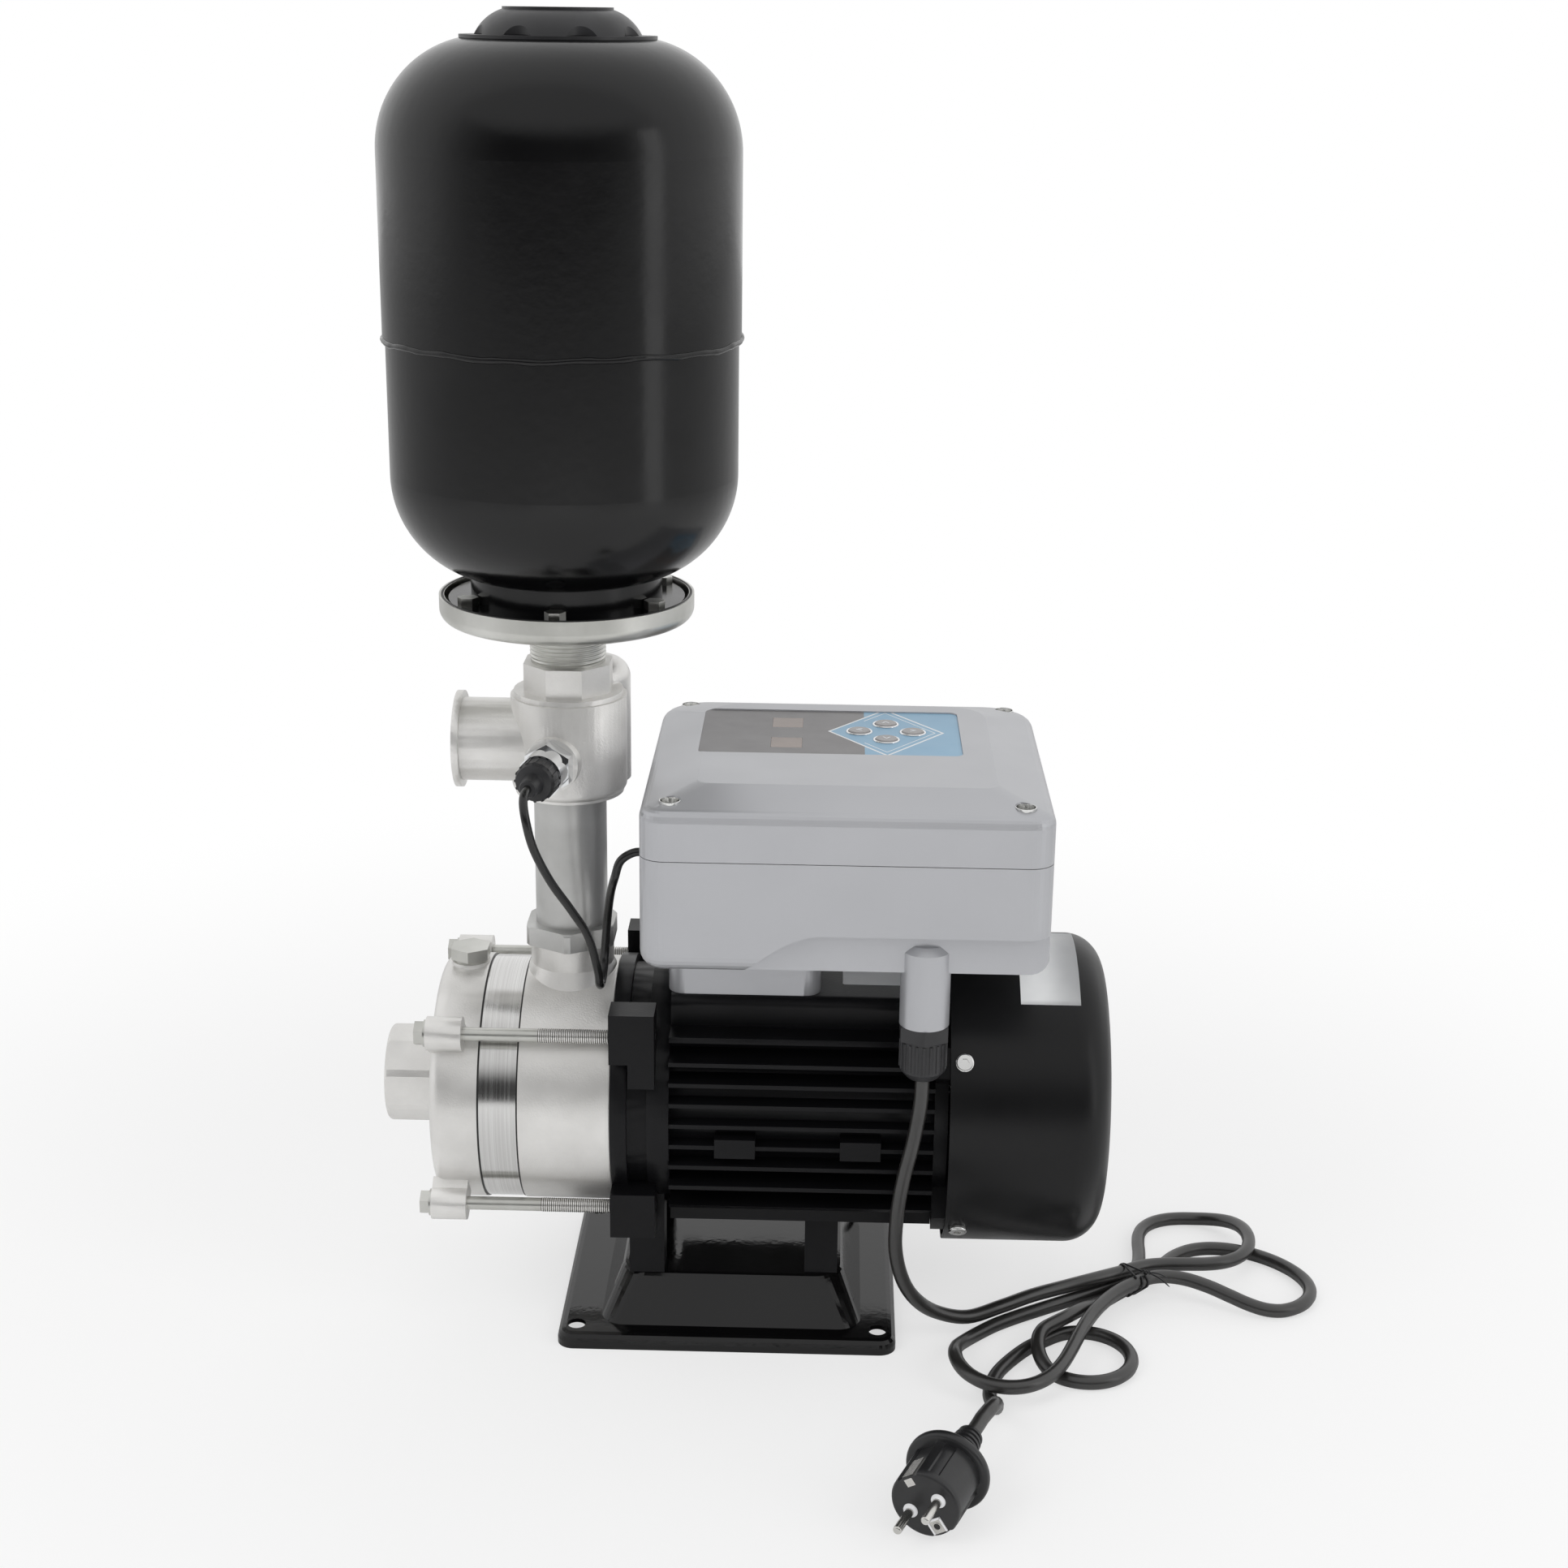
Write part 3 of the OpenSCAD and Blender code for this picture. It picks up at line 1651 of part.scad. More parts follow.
module controller_housing() {
  color("#a9abb1")
    difference() {
      union() {
        at_box(0)
          difference() {
            housing_form();
            step_space(0);
          }
        at_gland() {
          cylinder(h = gland_neck_top - gland_neck_low - box_floor, r = gland_neck_r);
          translate([0, 0, gland_neck_top - gland_neck_low - box_floor])
            cylinder(h = box_floor, r1 = gland_neck_r, r2 = gland_neck_r - box_floor);
        }
      }
      at_box(0)
        difference() {
          union() {
            box_space(box_low_in, box_floor, box_h + cut);
            box_space(box_wall, box_round, box_h + cut);
          }
          step_space(box_wall);
          at_lid_screws()
            cylinder(h = box_h, r = post_r);
          at_board_posts()
            cylinder(h = board_z, r = post_r);
        }
      at_gland()
        translate([0, 0, -cut])
          cylinder(h = box_floor - gland_neck_low + 2 * cut, r = gland_bore_r);
      at_box(0) {
        translate([pad_x, 0, -cut])
          cylinder(h = box_floor + 2 * cut, r = wire_hole_r);
        at_lid_screws()
          translate([0, 0, box_h - lid_screw_len])
            cylinder(h = lid_screw_len + cut, r = lid_screw_r);
      }
      translate([box_x - box_w / 2 - cut, cable_end_y, axis_h + cable_end_z])
        rotate([0, 90, 0])
          cylinder(h = box_wall + 2 * cut, r = cable_r + fit);
    }
}

module lid_form() {
  hull() {
    slab(box_w, box_d, box_front_r, box_back_r, 0, 0);
    for (a = box_angles)
      slab(box_w, box_d, box_front_r, box_back_r, lid_round * (1 - cos(a)),
        lid_h - lid_round - lid_slope_h + lid_round * sin(a));
    slab(box_w - 2 * lid_slope_in, box_d - 2 * lid_slope_in, box_front_r, box_back_r,
      lid_round, lid_h - thin);
  }
}

module at_buttons() {
  for (d = [[-1, 0], [1, 0], [0, -1], [0, 1]])
    translate([button_x + button_pitch * d[0], button_y + button_pitch * d[1], 0])
      children();
}

module at_windows() {
  for (s = [-1, 1])
    translate([window_x, window_y + s * window_pitch / 2, 0])
      children();
}

module controller_lid() {
  color("#a9abb1")
    at_box(box_h + seam)
      difference() {
        lid_form();
        difference() {
          union() {
            box_space(box_wall, -cut, lid_h - lid_round - lid_slope_h);
            box_space(lid_slope_in + lid_top, 0, lid_h - lid_top);
          }
          at_lid_screws()
            cylinder(h = lid_h, r = lid_well_r + box_wall);
        }
        at_lid_screws() {
          translate([0, 0, lid_well_floor])
            cylinder(h = lid_h, r = lid_well_r);
          translate([0, 0, -cut])
            cylinder(h = lid_h, r = lid_screw_r + fit);
        }
        translate([panel_x, panel_y, lid_h - panel_sink])
          linear_extrude(panel_sink + cut)
            rounded_rect(panel_w, panel_d, panel_corner, panel_corner);
        at_buttons()
          translate([0, 0, lid_h - lid_top - cut])
            cylinder(h = lid_top, r = button_stem_r + button_gap);
      }
}

module lid_screws() {
  color("#c9cbcd")
    at_box(box_h + seam + lid_well_floor)
      at_lid_screws() {
        translate([0, 0, -lid_well_floor - seam - lid_screw_len + cut])
          cylinder(h = lid_screw_len + lid_well_floor + seam, r = lid_screw_r);
        difference() {
          rounded_disc(lid_head_h, lid_head_r, lid_head_h / 2);
          translate([0, 0, lid_head_h / 2])
            cylinder(h = lid_head_h, r = lid_screw_r, $fn = 6);
        }
      }
}

module circuit_board() {
  color("#1f5a34")
    at_box(board_z) {
      translate([board_in - box_w / 2, board_in - box_d / 2, 0])
        cube([box_w - 2 * board_in, box_d - 2 * board_in, board_t]);
      for (p = board_parts)
        translate([p[0] - p[2] / 2, p[1] - p[3] / 2, board_t / 2])
          cube([p[2], p[3], p[4]]);
    }
}

module control_panel() {
  color("#b7bdc8")
    at_box(box_h + seam + lid_h - panel_sink)
      difference() {
        translate([panel_x, panel_y, 0])
          linear_extrude(panel_t)
            rounded_rect(panel_w - 2 * fit, panel_d - 2 * fit, panel_corner, panel_corner);
        at_buttons()
          translate([0, 0, -cut])
            cylinder(h = panel_t + 2 * cut, r = button_d / 2 + button_gap);
        at_windows()
          translate([-window_w / 2, -window_d / 2, -cut])
            cube([window_w, window_d, panel_t + 2 * cut]);
      }
}

module display_windows() {
  color("#3a2f2c")
    at_box(box_h + seam + lid_h - panel_sink)
      at_windows()
        translate([fit - window_w / 2, fit - window_d / 2, 0])
          cube([window_w - 2 * fit, window_d - 2 * fit, panel_t]);
}

module push_button(dx, dy) {
  color("#8f9aa8")
    at_box(box_h + seam + lid_h - panel_sink)
      translate([button_x + button_pitch * dx, button_y + button_pitch * dy, button_lift]) {
        rounded_disc(panel_t + button_rise - button_lift, button_d / 2, button_rise / 2);
        translate([0, 0, -button_stem_len])
          cylinder(h = button_stem_len + cut, r = button_stem_r);
      }
}

module button_up() {
  push_button(0, 1);
}

module button_down() {
  push_button(0, -1);
}

module button_left() {
  push_button(-1, 0);
}

module button_right() {
  push_button(1, 0);
}

module cable_gland() {
  color("#1c1c1e")
    at_gland()
      difference() {
        union() {
          translate([0, 0, -cut])
            cylinder(h = thread_engage + cut, r = gland_bore_r);
          translate([0, 0, -gland_hex_h])
            flats(gland_af, gland_hex_h, 6);
          rotate_extrude()
            polygon([
              [0, gland_bottom],
              [gland_tip_r, gland_bottom],
              [gland_nut_r, gland_bottom + gland_tip_h],
              [gland_nut_r, cut - gland_hex_h],
              [0, cut - gland_hex_h]
            ]);
        }
        translate([0, 0, gland_bottom - cut])
          cylinder(h = gland_seat + cut, r = cord_r + fit);
        translate([0, 0, gland_bottom])
          cylinder(h = thread_engage - gland_bottom + cut, r = cord_r / 2);
      }
}

// Cords

// Points along a smooth curve through a list of points, some steps between each pair
function curve(p, steps) = concat(
  [for (i = [0 : len(p) - 2], k = [0 : steps - 1]) between(p, i, k / steps)],
  [p[len(p) - 1]]);
function before(p, i) = i > 0 ? p[i - 1] : 2 * p[0] - p[1];
function after(p, i) = i < len(p) - 2 ? p[i + 2] : 2 * p[i + 1] - p[i];
function between(p, i, t) = 0.5 * (2 * p[i] + (p[i + 1] - before(p, i)) * t
  + (2 * before(p, i) - 5 * p[i] + 4 * p[i + 1] - after(p, i)) * t * t
  + (3 * p[i] - before(p, i) - 3 * p[i + 1] + after(p, i)) * t * t * t);

function unit(v) = v / norm(v);
function square_to(v, t) = unit(v - (v * t) * t);
function tangents(p, first, last) = [for (i = [0 : len(p) - 1])
  unit((i < len(p) - 1 ? p[i + 1] : last) - (i > 0 ? p[i - 1] : first))];
// Sideways directions carried along the path without twist
function sideways(t) = [for (i = 0, u = square_to(first_side, t[0]); i < len(t);
  i = i + 1, u = i < len(t) ? square_to(u, t[i]) : u) u];

// Round tube swept along a list of points; first and last are the points beyond its ends
module swept_tube(path, r, sides, first, last) {
  t = tangents(path, first, last);
  u = sideways(t);
  n = len(path);
  points = [for (i = [0 : n - 1], k = [0 : sides - 1])
    path[i] + r * (cos(k * 360 / sides) * u[i] + sin(k * 360 / sides) * cross(t[i], u[i]))];
  rows = [for (i = [0 : n - 2], k = [0 : sides - 1])
    [i * sides + k, (i + 1) * sides + k, (i + 1) * sides + (k + 1) % sides,
      i * sides + (k + 1) % sides]];
  caps = [[for (k = [0 : sides - 1]) k],
    [for (k = [sides - 1 : -1 : 0]) (n - 1) * sides + k]];
  polyhedron(points = points, faces = concat(rows, caps));
}

// Place by distance along the held runs, distance across them and height
function at_tie(along, across, z) = [
  tie_x + along * cos(tie_a) - across * sin(tie_a),
  tie_y + along * sin(tie_a) + across * cos(tie_a), z];
function ease(t) = t < 0 ? 0 : t > 1 ? 1 : t * t * (3 - 2 * t);
function loop_point(g, s) = let(
  reach = g[0] * g[1] * sin(180 * s),
  a = tie_a + (g[2] - tie_a) * sin(180 * s) - g[3] * (sin(360 * s) + g[4] * sin(720 * s)),
  across = g[5] + (g[6] - g[5]) * s,
  level = g[7] + (g[8] - g[7]) * ease((s - g[9]) / (g[10] - g[9]))
) [
  tie_x + reach * cos(a) - across * sin(tie_a),
  tie_y + reach * sin(a) + across * cos(tie_a),
  floor_z + level * level_step + tie_lift * pow(abs(cos(180 * s)), 12)];
function slant_point(s) = at_tie(turn_along * s, turn_across * ease(s), floor_z
  + tie_lift * pow(1 - s, 3) + level_step * ease((s - turn_rise[0]) / (turn_rise[1] - turn_rise[0])));
function turn_point(s) = at_tie(turn_along + turn_r * cos(90 + 360 * s),
  turn_across - turn_r + turn_r * sin(90 + 360 * s),
  floor_z + level_step * (1 - ease((360 * s - turn_fall[0]) / (turn_fall[1] - turn_fall[0]))));
function behind_plug(d) = [plug_x, plug_y, plug_z] - d * plug_axis;

// Local z runs along the plug, from the middle of its face towards the pins
module at_plug() {
  translate([plug_x, plug_y, plug_z])
    rotate([0, 0, plug_heading])
      rotate([0, 90 + plug_tilt, 0])
        rotate(plug_roll)
          children();
}
module mains_cord() {
  color("#1d1e20")
    swept_tube(lead_path, cord_r, cord_sides, lead_path[0] + [0, 0, 1], loops_path[1]);
}

// The least gap of the loops to themselves is measured on points of their middle line
module cord_loops() {
  line = curve(loops_path, 3);
  gaps = [for (i = [0 : len(line) - 1 - loop_skip], j = [i + loop_skip : len(line) - 1])
    norm(line[i] - line[j]) - cord_d];
  echo(least_gap = min(gaps));
  color("#1d1e20")
    swept_tube(loops_path, cord_r, loop_sides, lead_path[len(lead_path) - 2], tail_path[1]);
}

module cord_tail() {
  color("#1d1e20")
    swept_tube(tail_path, cord_r, cord_sides, loops_path[len(loops_path) - 2],
      behind_plug(0));
}

// Outline round the four held runs, in the plane across them
module tie_outline(r) {
  hull()
    for (c = tie_runs)
      translate([c[0], floor_z + tie_lift + c[1] * level_step])
        circle(r, $fn = hull_fn);
}

module cord_tie() {
  color("#151516")
    translate([tie_x, tie_y, 0])
      rotate([90, 0, tie_a + 90])
        translate([0, 0, -tie_w / 2])
          linear_extrude(tie_w)
            difference() {
              tie_outline(cord_r + seat + tie_t);
              tie_outline(cord_r + seat);
            }
}

module plug_body() {
  color("#1a1a1c")
    at_plug()
      difference() {
        union() {
          translate([0, 0, -plug_body_len])
            cylinder(h = plug_body_len, r = plug_r);
          translate([0, 0, -plug_body_len - plug_guard_len])
            cylinder(h = plug_guard_len, r = plug_guard_r);
          translate([0, 0, -plug_body_len - plug_guard_len - plug_cone_len])
            cylinder(h = plug_cone_len, r1 = plug_neck_r, r2 = plug_r);
          translate([0, 0, -plug_len])
            cylinder(h = plug_neck_len, r1 = plug_end_r, r2 = plug_neck_r);
        }
        for (s = [-1, 1])
          translate([s > 0 ? plug_flat : -plug_flat - plug_r, -plug_flat_w / 2, -plug_body_len])
            cube([plug_r, plug_flat_w, plug_body_len + cut]);
        for (s = [-1, 1])
          translate([0, s * pin_pitch / 2, -pin_in])
            cylinder(h = pin_in + cut, r = pin_r);
        translate([0, 0, -plug_len - cut])
          cylinder(h = plug_hole_len + cut, r = cord_r + fit);
      }
}

module plug_pins() {
  color("#c9cbcd")
    at_plug() {
      for (s = [-1, 1])
        translate([0, s * pin_pitch / 2, -pin_in])
          rounded_disc(pin_in + pin_len, pin_r, pin_r / 2);
      for (s = [-1, 1])
        translate([s > 0 ? plug_flat : -plug_flat - earth_t, -earth_w / 2, -earth_len - earth_t])
          cube([earth_t, earth_w, earth_len]);
    }
}

module sensor_cable() {
  color("#1a1a1c") {
    at_sensor()
      translate([0, 0, sensor_boss_end + sensor_hex_len + sensor_body_len]) {
        cylinder(h = sensor_cap_len, r = sensor_cap_r);
        cylinder(h = sensor_cap_len + sensor_tip_len, r = sensor_tip_r);
      }
    swept_tube(cable_path, cable_r, loop_sides, cable_path[0] - sensor_dir,
      box_side + [cable_d, 0, 0]);
  }
}

base_plate();
motor_bracket();
motor_frame();
rear_foot();
foot_bolts();
end_shield();
fan_cover();
fan_cover_screws();
cooling_fan();
motor_shaft();
rotor_core();
stator_core();
stator_windings();
drive_end_bearing();
fan_end_bearing();
seal_seat();
seal_ring();
pump_casing();
stage_sleeve();
casing_gaskets();
suction_cover();
impeller_1();
impeller_2();
impeller_nut();
diffuser_1();
diffuser_2();
priming_plug();
tie_bolts();
lock_nut();
riser_pipe();
check_valve_cage();
check_valve_poppet();
manifold();
pressure_sensor();
sensor_cable();
tank_flange();
flange_bolts();
tank_lower_shell();
tank_upper_shell();
tank_bladder();
air_valve();
tank_cap();
controller_pad();
controller_housing();
controller_lid();
lid_screws();
circuit_board();
control_panel();
display_windows();
button_up();
button_down();
button_left();
button_right();
cable_gland();
mains_cord();
cord_loops();
cord_tail();
cord_tie();
plug_body();
plug_pins();
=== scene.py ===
from math import cos, hypot, pi, radians, sin

import bpy
from mathutils import Matrix, Vector


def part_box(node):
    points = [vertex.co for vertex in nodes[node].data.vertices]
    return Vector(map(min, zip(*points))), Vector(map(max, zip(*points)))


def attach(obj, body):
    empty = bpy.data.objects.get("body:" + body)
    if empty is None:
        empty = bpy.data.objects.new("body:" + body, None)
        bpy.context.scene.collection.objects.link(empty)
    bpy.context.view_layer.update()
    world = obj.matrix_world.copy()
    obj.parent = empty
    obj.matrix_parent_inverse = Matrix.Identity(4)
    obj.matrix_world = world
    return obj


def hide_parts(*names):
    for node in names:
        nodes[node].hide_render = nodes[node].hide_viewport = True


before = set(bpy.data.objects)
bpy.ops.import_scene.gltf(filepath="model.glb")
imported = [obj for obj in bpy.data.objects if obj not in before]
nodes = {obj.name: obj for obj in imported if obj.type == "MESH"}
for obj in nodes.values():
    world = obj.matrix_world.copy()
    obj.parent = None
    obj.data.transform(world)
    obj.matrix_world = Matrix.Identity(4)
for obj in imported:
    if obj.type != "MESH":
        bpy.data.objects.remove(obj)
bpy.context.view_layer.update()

# Lengths are in millimetres unless they say metres. The places are those of the part's source.
MM = 0.001
UNIT = "pump_unit"
AXIS_Z = 140.0
TANK_X = -98.0
SENSOR_Z = 352.0
GLAND_X, GLAND_Y = 112.0, -96.0

# ---------------------------------------------------------------- camera
# Place in metres, turn and focal length from one perspective fit to the photograph
CAMERA_AT = Vector((0.0558, -1.35465, 0.7711))
YAW, PITCH, ROLL = radians(1.14), radians(17.98), radians(0.75)
FOCAL_PX, FRAME_PX, SENSOR_MM = 2966.16, 1932, 36.0


def make_camera():
    data = bpy.data.cameras.new("camera")
    data.sensor_width = SENSOR_MM
    data.lens = FOCAL_PX / FRAME_PX * SENSOR_MM
    forward = Vector((-sin(YAW) * cos(PITCH), cos(YAW) * cos(PITCH), -sin(PITCH)))
    right = Vector((cos(YAW), sin(YAW), 0))
    up = right.cross(forward)
    x_axis = cos(ROLL) * right + sin(ROLL) * up
    y_axis = cos(ROLL) * up - sin(ROLL) * right
    turn = Matrix((x_axis, y_axis, -forward)).transposed().to_4x4()
    camera = bpy.data.objects.new("camera", data)
    camera.matrix_world = Matrix.Translation(CAMERA_AT) @ turn
    bpy.context.scene.collection.objects.link(camera)
    bpy.context.scene.camera = camera


make_camera()


# ---------------------------------------------------------------- materials
class Look:
    """A Principled material whose colour, roughness and bump vary over the surface."""

    def __init__(self, name, metallic=0.0, specular=0.5):
        self.material = bpy.data.materials.new(name)
        self.material.use_nodes = True
        self.tree = self.material.node_tree
        self.shader = self.tree.nodes["Principled BSDF"]
        self.shader.inputs["Metallic"].default_value = metallic
        self.shader.inputs["Specular IOR Level"].default_value = specular
        self.place = self.add("ShaderNodeTexCoord").outputs["Object"]

    def add(self, kind, **inputs):
        """A new node; an underscore in an input's name stands for a space."""
        node = self.tree.nodes.new(kind)
        for key, value in inputs.items():
            self.put(node.inputs[key.replace("_", " ")], value)
        return node

    def put(self, socket, value):
        if isinstance(value, bpy.types.NodeSocket):
            self.tree.links.new(value, socket)
        else:
            socket.default_value = value

    def math(self, operation, *values):
        node = self.tree.nodes.new("ShaderNodeMath")
        node.operation = operation
        for socket, value in zip(node.inputs, values):
            self.put(socket, value)
        return node.outputs["Value"]

    def noise(self, scale, detail=3.0, stretch=(1, 1, 1), rough=0.5):
        """Noise in object space; scale is in cells a metre and stretch squeezes an axis."""
        mapping = self.add("ShaderNodeMapping", Vector=self.place)
        mapping.inputs["Scale"].default_value = stretch
        node = self.add("ShaderNodeTexNoise", Vector=mapping.outputs["Vector"], Scale=scale,
                        Detail=detail, Roughness=rough)
        return node.outputs["Fac"]

    def spread(self, value, low, high, start=0.3, end=0.7):
        """Low to high over the part of the value's range that noise fills."""
        node = self.add("ShaderNodeMapRange", Value=value, From_Min=start, From_Max=end, To_Min=low,
                        To_Max=high)
        return node.outputs["Result"]

    def mix(self, factor, first, second):
        node = self.tree.nodes.new("ShaderNodeMix")
        node.data_type = "RGBA"
        self.put(node.inputs["Factor"], factor)
        for name, value in (("A", first), ("B", second)):
            socket = [s for s in node.inputs if s.name == name and s.type == "RGBA"][0]
            self.put(socket, (*value, 1.0) if isinstance(value, tuple) else value)
        return [s for s in node.outputs if s.type == "RGBA"][0]

    def colour(self, first, second, factor):
        self.put(self.shader.inputs["Base Color"], self.mix(factor, first, second))

    def roughness(self, low, high, factor):
        self.put(self.shader.inputs["Roughness"], self.spread(factor, low, high))

    def bump(self, height, depth):
        """Relief of the given depth in metres."""
        node = self.add("ShaderNodeBump", Height=height, Distance=depth)
        self.put(self.shader.inputs["Normal"], node.outputs["Normal"])

    def specks(self, scale, size):
        """Rare small dots, 1 inside a dot."""
        node = self.add("ShaderNodeTexVoronoi", Vector=self.place, Scale=scale)
        return self.math("LESS_THAN", node.outputs["Distance"], size)


def painted(name, dark, light, rough, peel, peel_scale, specular=0.5, dust=0.0, metallic=0.0):
    """Paint with clouds of shade, orange peel of depth peel and, with dust, a few paler specks."""
    look = Look(name, metallic=metallic, specular=specular)
    factor = look.spread(look.noise(14.0, 1.0), 0.0, 1.0, 0.2, 0.8)
    if dust:
        factor = look.math("ADD", factor, look.math("MULTIPLY", look.specks(260.0, 0.06), dust))
    look.colour(dark, light, factor)
    look.roughness(*rough, look.noise(33.0, 5.0))
    look.bump(look.noise(peel_scale, 2.0), peel)
    return look


def cast_metal(name, dark, light, rough, grain, depth, stretch=(1, 1, 1), metallic=1.0):
    """Metal with clouds of shade and a grain of the given scale and depth."""
    look = Look(name, metallic=metallic)
    look.colour(dark, light, look.spread(look.noise(26.0, 5.0), 0.0, 1.0))
    look.roughness(*rough, look.noise(60.0, 4.0))
    look.bump(look.noise(grain, 3.0, stretch), depth)
    return look


def plastic(name, dark, light, rough, grain=900.0, depth=0.00002, specular=0.5):
    """Plastic or rubber with clouds of shade and a fine grain."""
    look = Look(name, specular=specular)
    look.colour(dark, light, look.spread(look.noise(45.0, 4.0), 0.0, 1.0))
    look.roughness(*rough, look.noise(80.0, 3.0))
    look.bump(look.noise(grain, 2.0), depth)
    return look


# The keypad's diamond on the front film: its middle, its half sizes and the blue field's left
# edge, in metres
KEYPAD_X, KEYPAD_Y = 0.089, 0.0265
DIAMOND_X, DIAMOND_Y = 0.034, 0.047
FIELD_X = 0.076


def panel_look():
    """Grey-brown film with a pale blue keypad field that ends in a point on the left."""
    look = Look("panel_film", specular=0.25)
    split = look.add("ShaderNodeSeparateXYZ", Vector=look.place)

    def off(value, middle):
        return look.math("ABSOLUTE", look.math("SUBTRACT", value, middle))

    across = look.math("DIVIDE", off(split.outputs["X"], KEYPAD_X), DIAMOND_X)
    along = look.math("DIVIDE", off(split.outputs["Y"], KEYPAD_Y), DIAMOND_Y)
    rim = look.math("ADD", across, along)
    field = look.math("GREATER_THAN", split.outputs["X"], FIELD_X)
    blue = look.math("MAXIMUM", look.math("LESS_THAN", rim, 1.0), field)
    edge = look.math("LESS_THAN", off(rim, 1.0), 0.025)
    inner = look.math("LESS_THAN", off(rim, 0.86), 0.012)
    line = look.math("MAXIMUM", edge, look.math("MULTIPLY", inner, field))
    cloud = look.spread(look.noise(30.0), 0.0, 1.0)
    brown = look.mix(cloud, (0.185, 0.178, 0.180), (0.205, 0.198, 0.200))
    pale = look.mix(cloud, (0.24, 0.42, 0.58), (0.26, 0.45, 0.61))
    ground = look.mix(blue, brown, pale)
    look.put(look.shader.inputs["Base Color"], look.mix(line, ground, (0.78, 0.80, 0.82)))
    look.roughness(0.29, 0.36, look.noise(70.0))
    look.bump(look.noise(90.0), 0.000004)
    return look


def sleeve_look():
    """Polished sheet with fine lines round the shaft."""
    look = Look("polished_sleeve", metallic=1.0)
    lines = look.noise(30.0, 6.0, (60.0, 0.12, 0.12), 0.7)
    look.colour((0.56, 0.55, 0.54), (0.80, 0.80, 0.79), look.spread(lines, 0.0, 1.0))
    look.roughness(0.10, 0.24, lines)
    look.bump(lines, 0.00002)
    return look


ROD_PITCH = 1.25


def thread_light_look():
    """Painted highlight on the crests and painted shade in the grooves, along the shaft's
    direction.
    """
    look = Look("rod_thread", metallic=0.9)
    split = look.add("ShaderNodeSeparateXYZ", Vector=look.place)
    painted_crest_light = look.math("SINE", look.math("MULTIPLY", split.outputs["X"], 2 * pi / (ROD_PITCH * MM)))
    # The colour follows the thread's pitch: pale on the crests as painted highlight, dark in the
    # grooves as painted shade
    look.colour((0.10, 0.095, 0.085), (0.85, 0.84, 0.82), look.spread(painted_crest_light, 0.0, 1.0, -0.7, 0.3))
    look.roughness(0.29, 0.36, look.noise(60.0))
    return look


def laminated_look():
    """Stacked sheets across the shaft."""
    look = Look("laminated_steel", metallic=1.0)
    layers = look.noise(40.0, 2.0, (40.0, 0.2, 0.2))
    look.colour((0.2, 0.2, 0.21), (0.36, 0.36, 0.37), look.spread(layers, 0.0, 1.0))
    look.roughness(0.35, 0.5, layers)
    look.bump(layers, 0.00004)
    return look


def copper_look():
    """Strands of wire along the shaft."""
    look = Look("enamelled_copper", metallic=0.9)
    wires = look.noise(50.0, 3.0, (1.0, 14.0, 14.0))
    look.colour((0.45, 0.16, 0.06), (0.72, 0.33, 0.15), look.spread(wires, 0.0, 1.0))
    look.roughness(0.29, 0.4, wires)
    look.bump(wires, 0.0003)
    return look


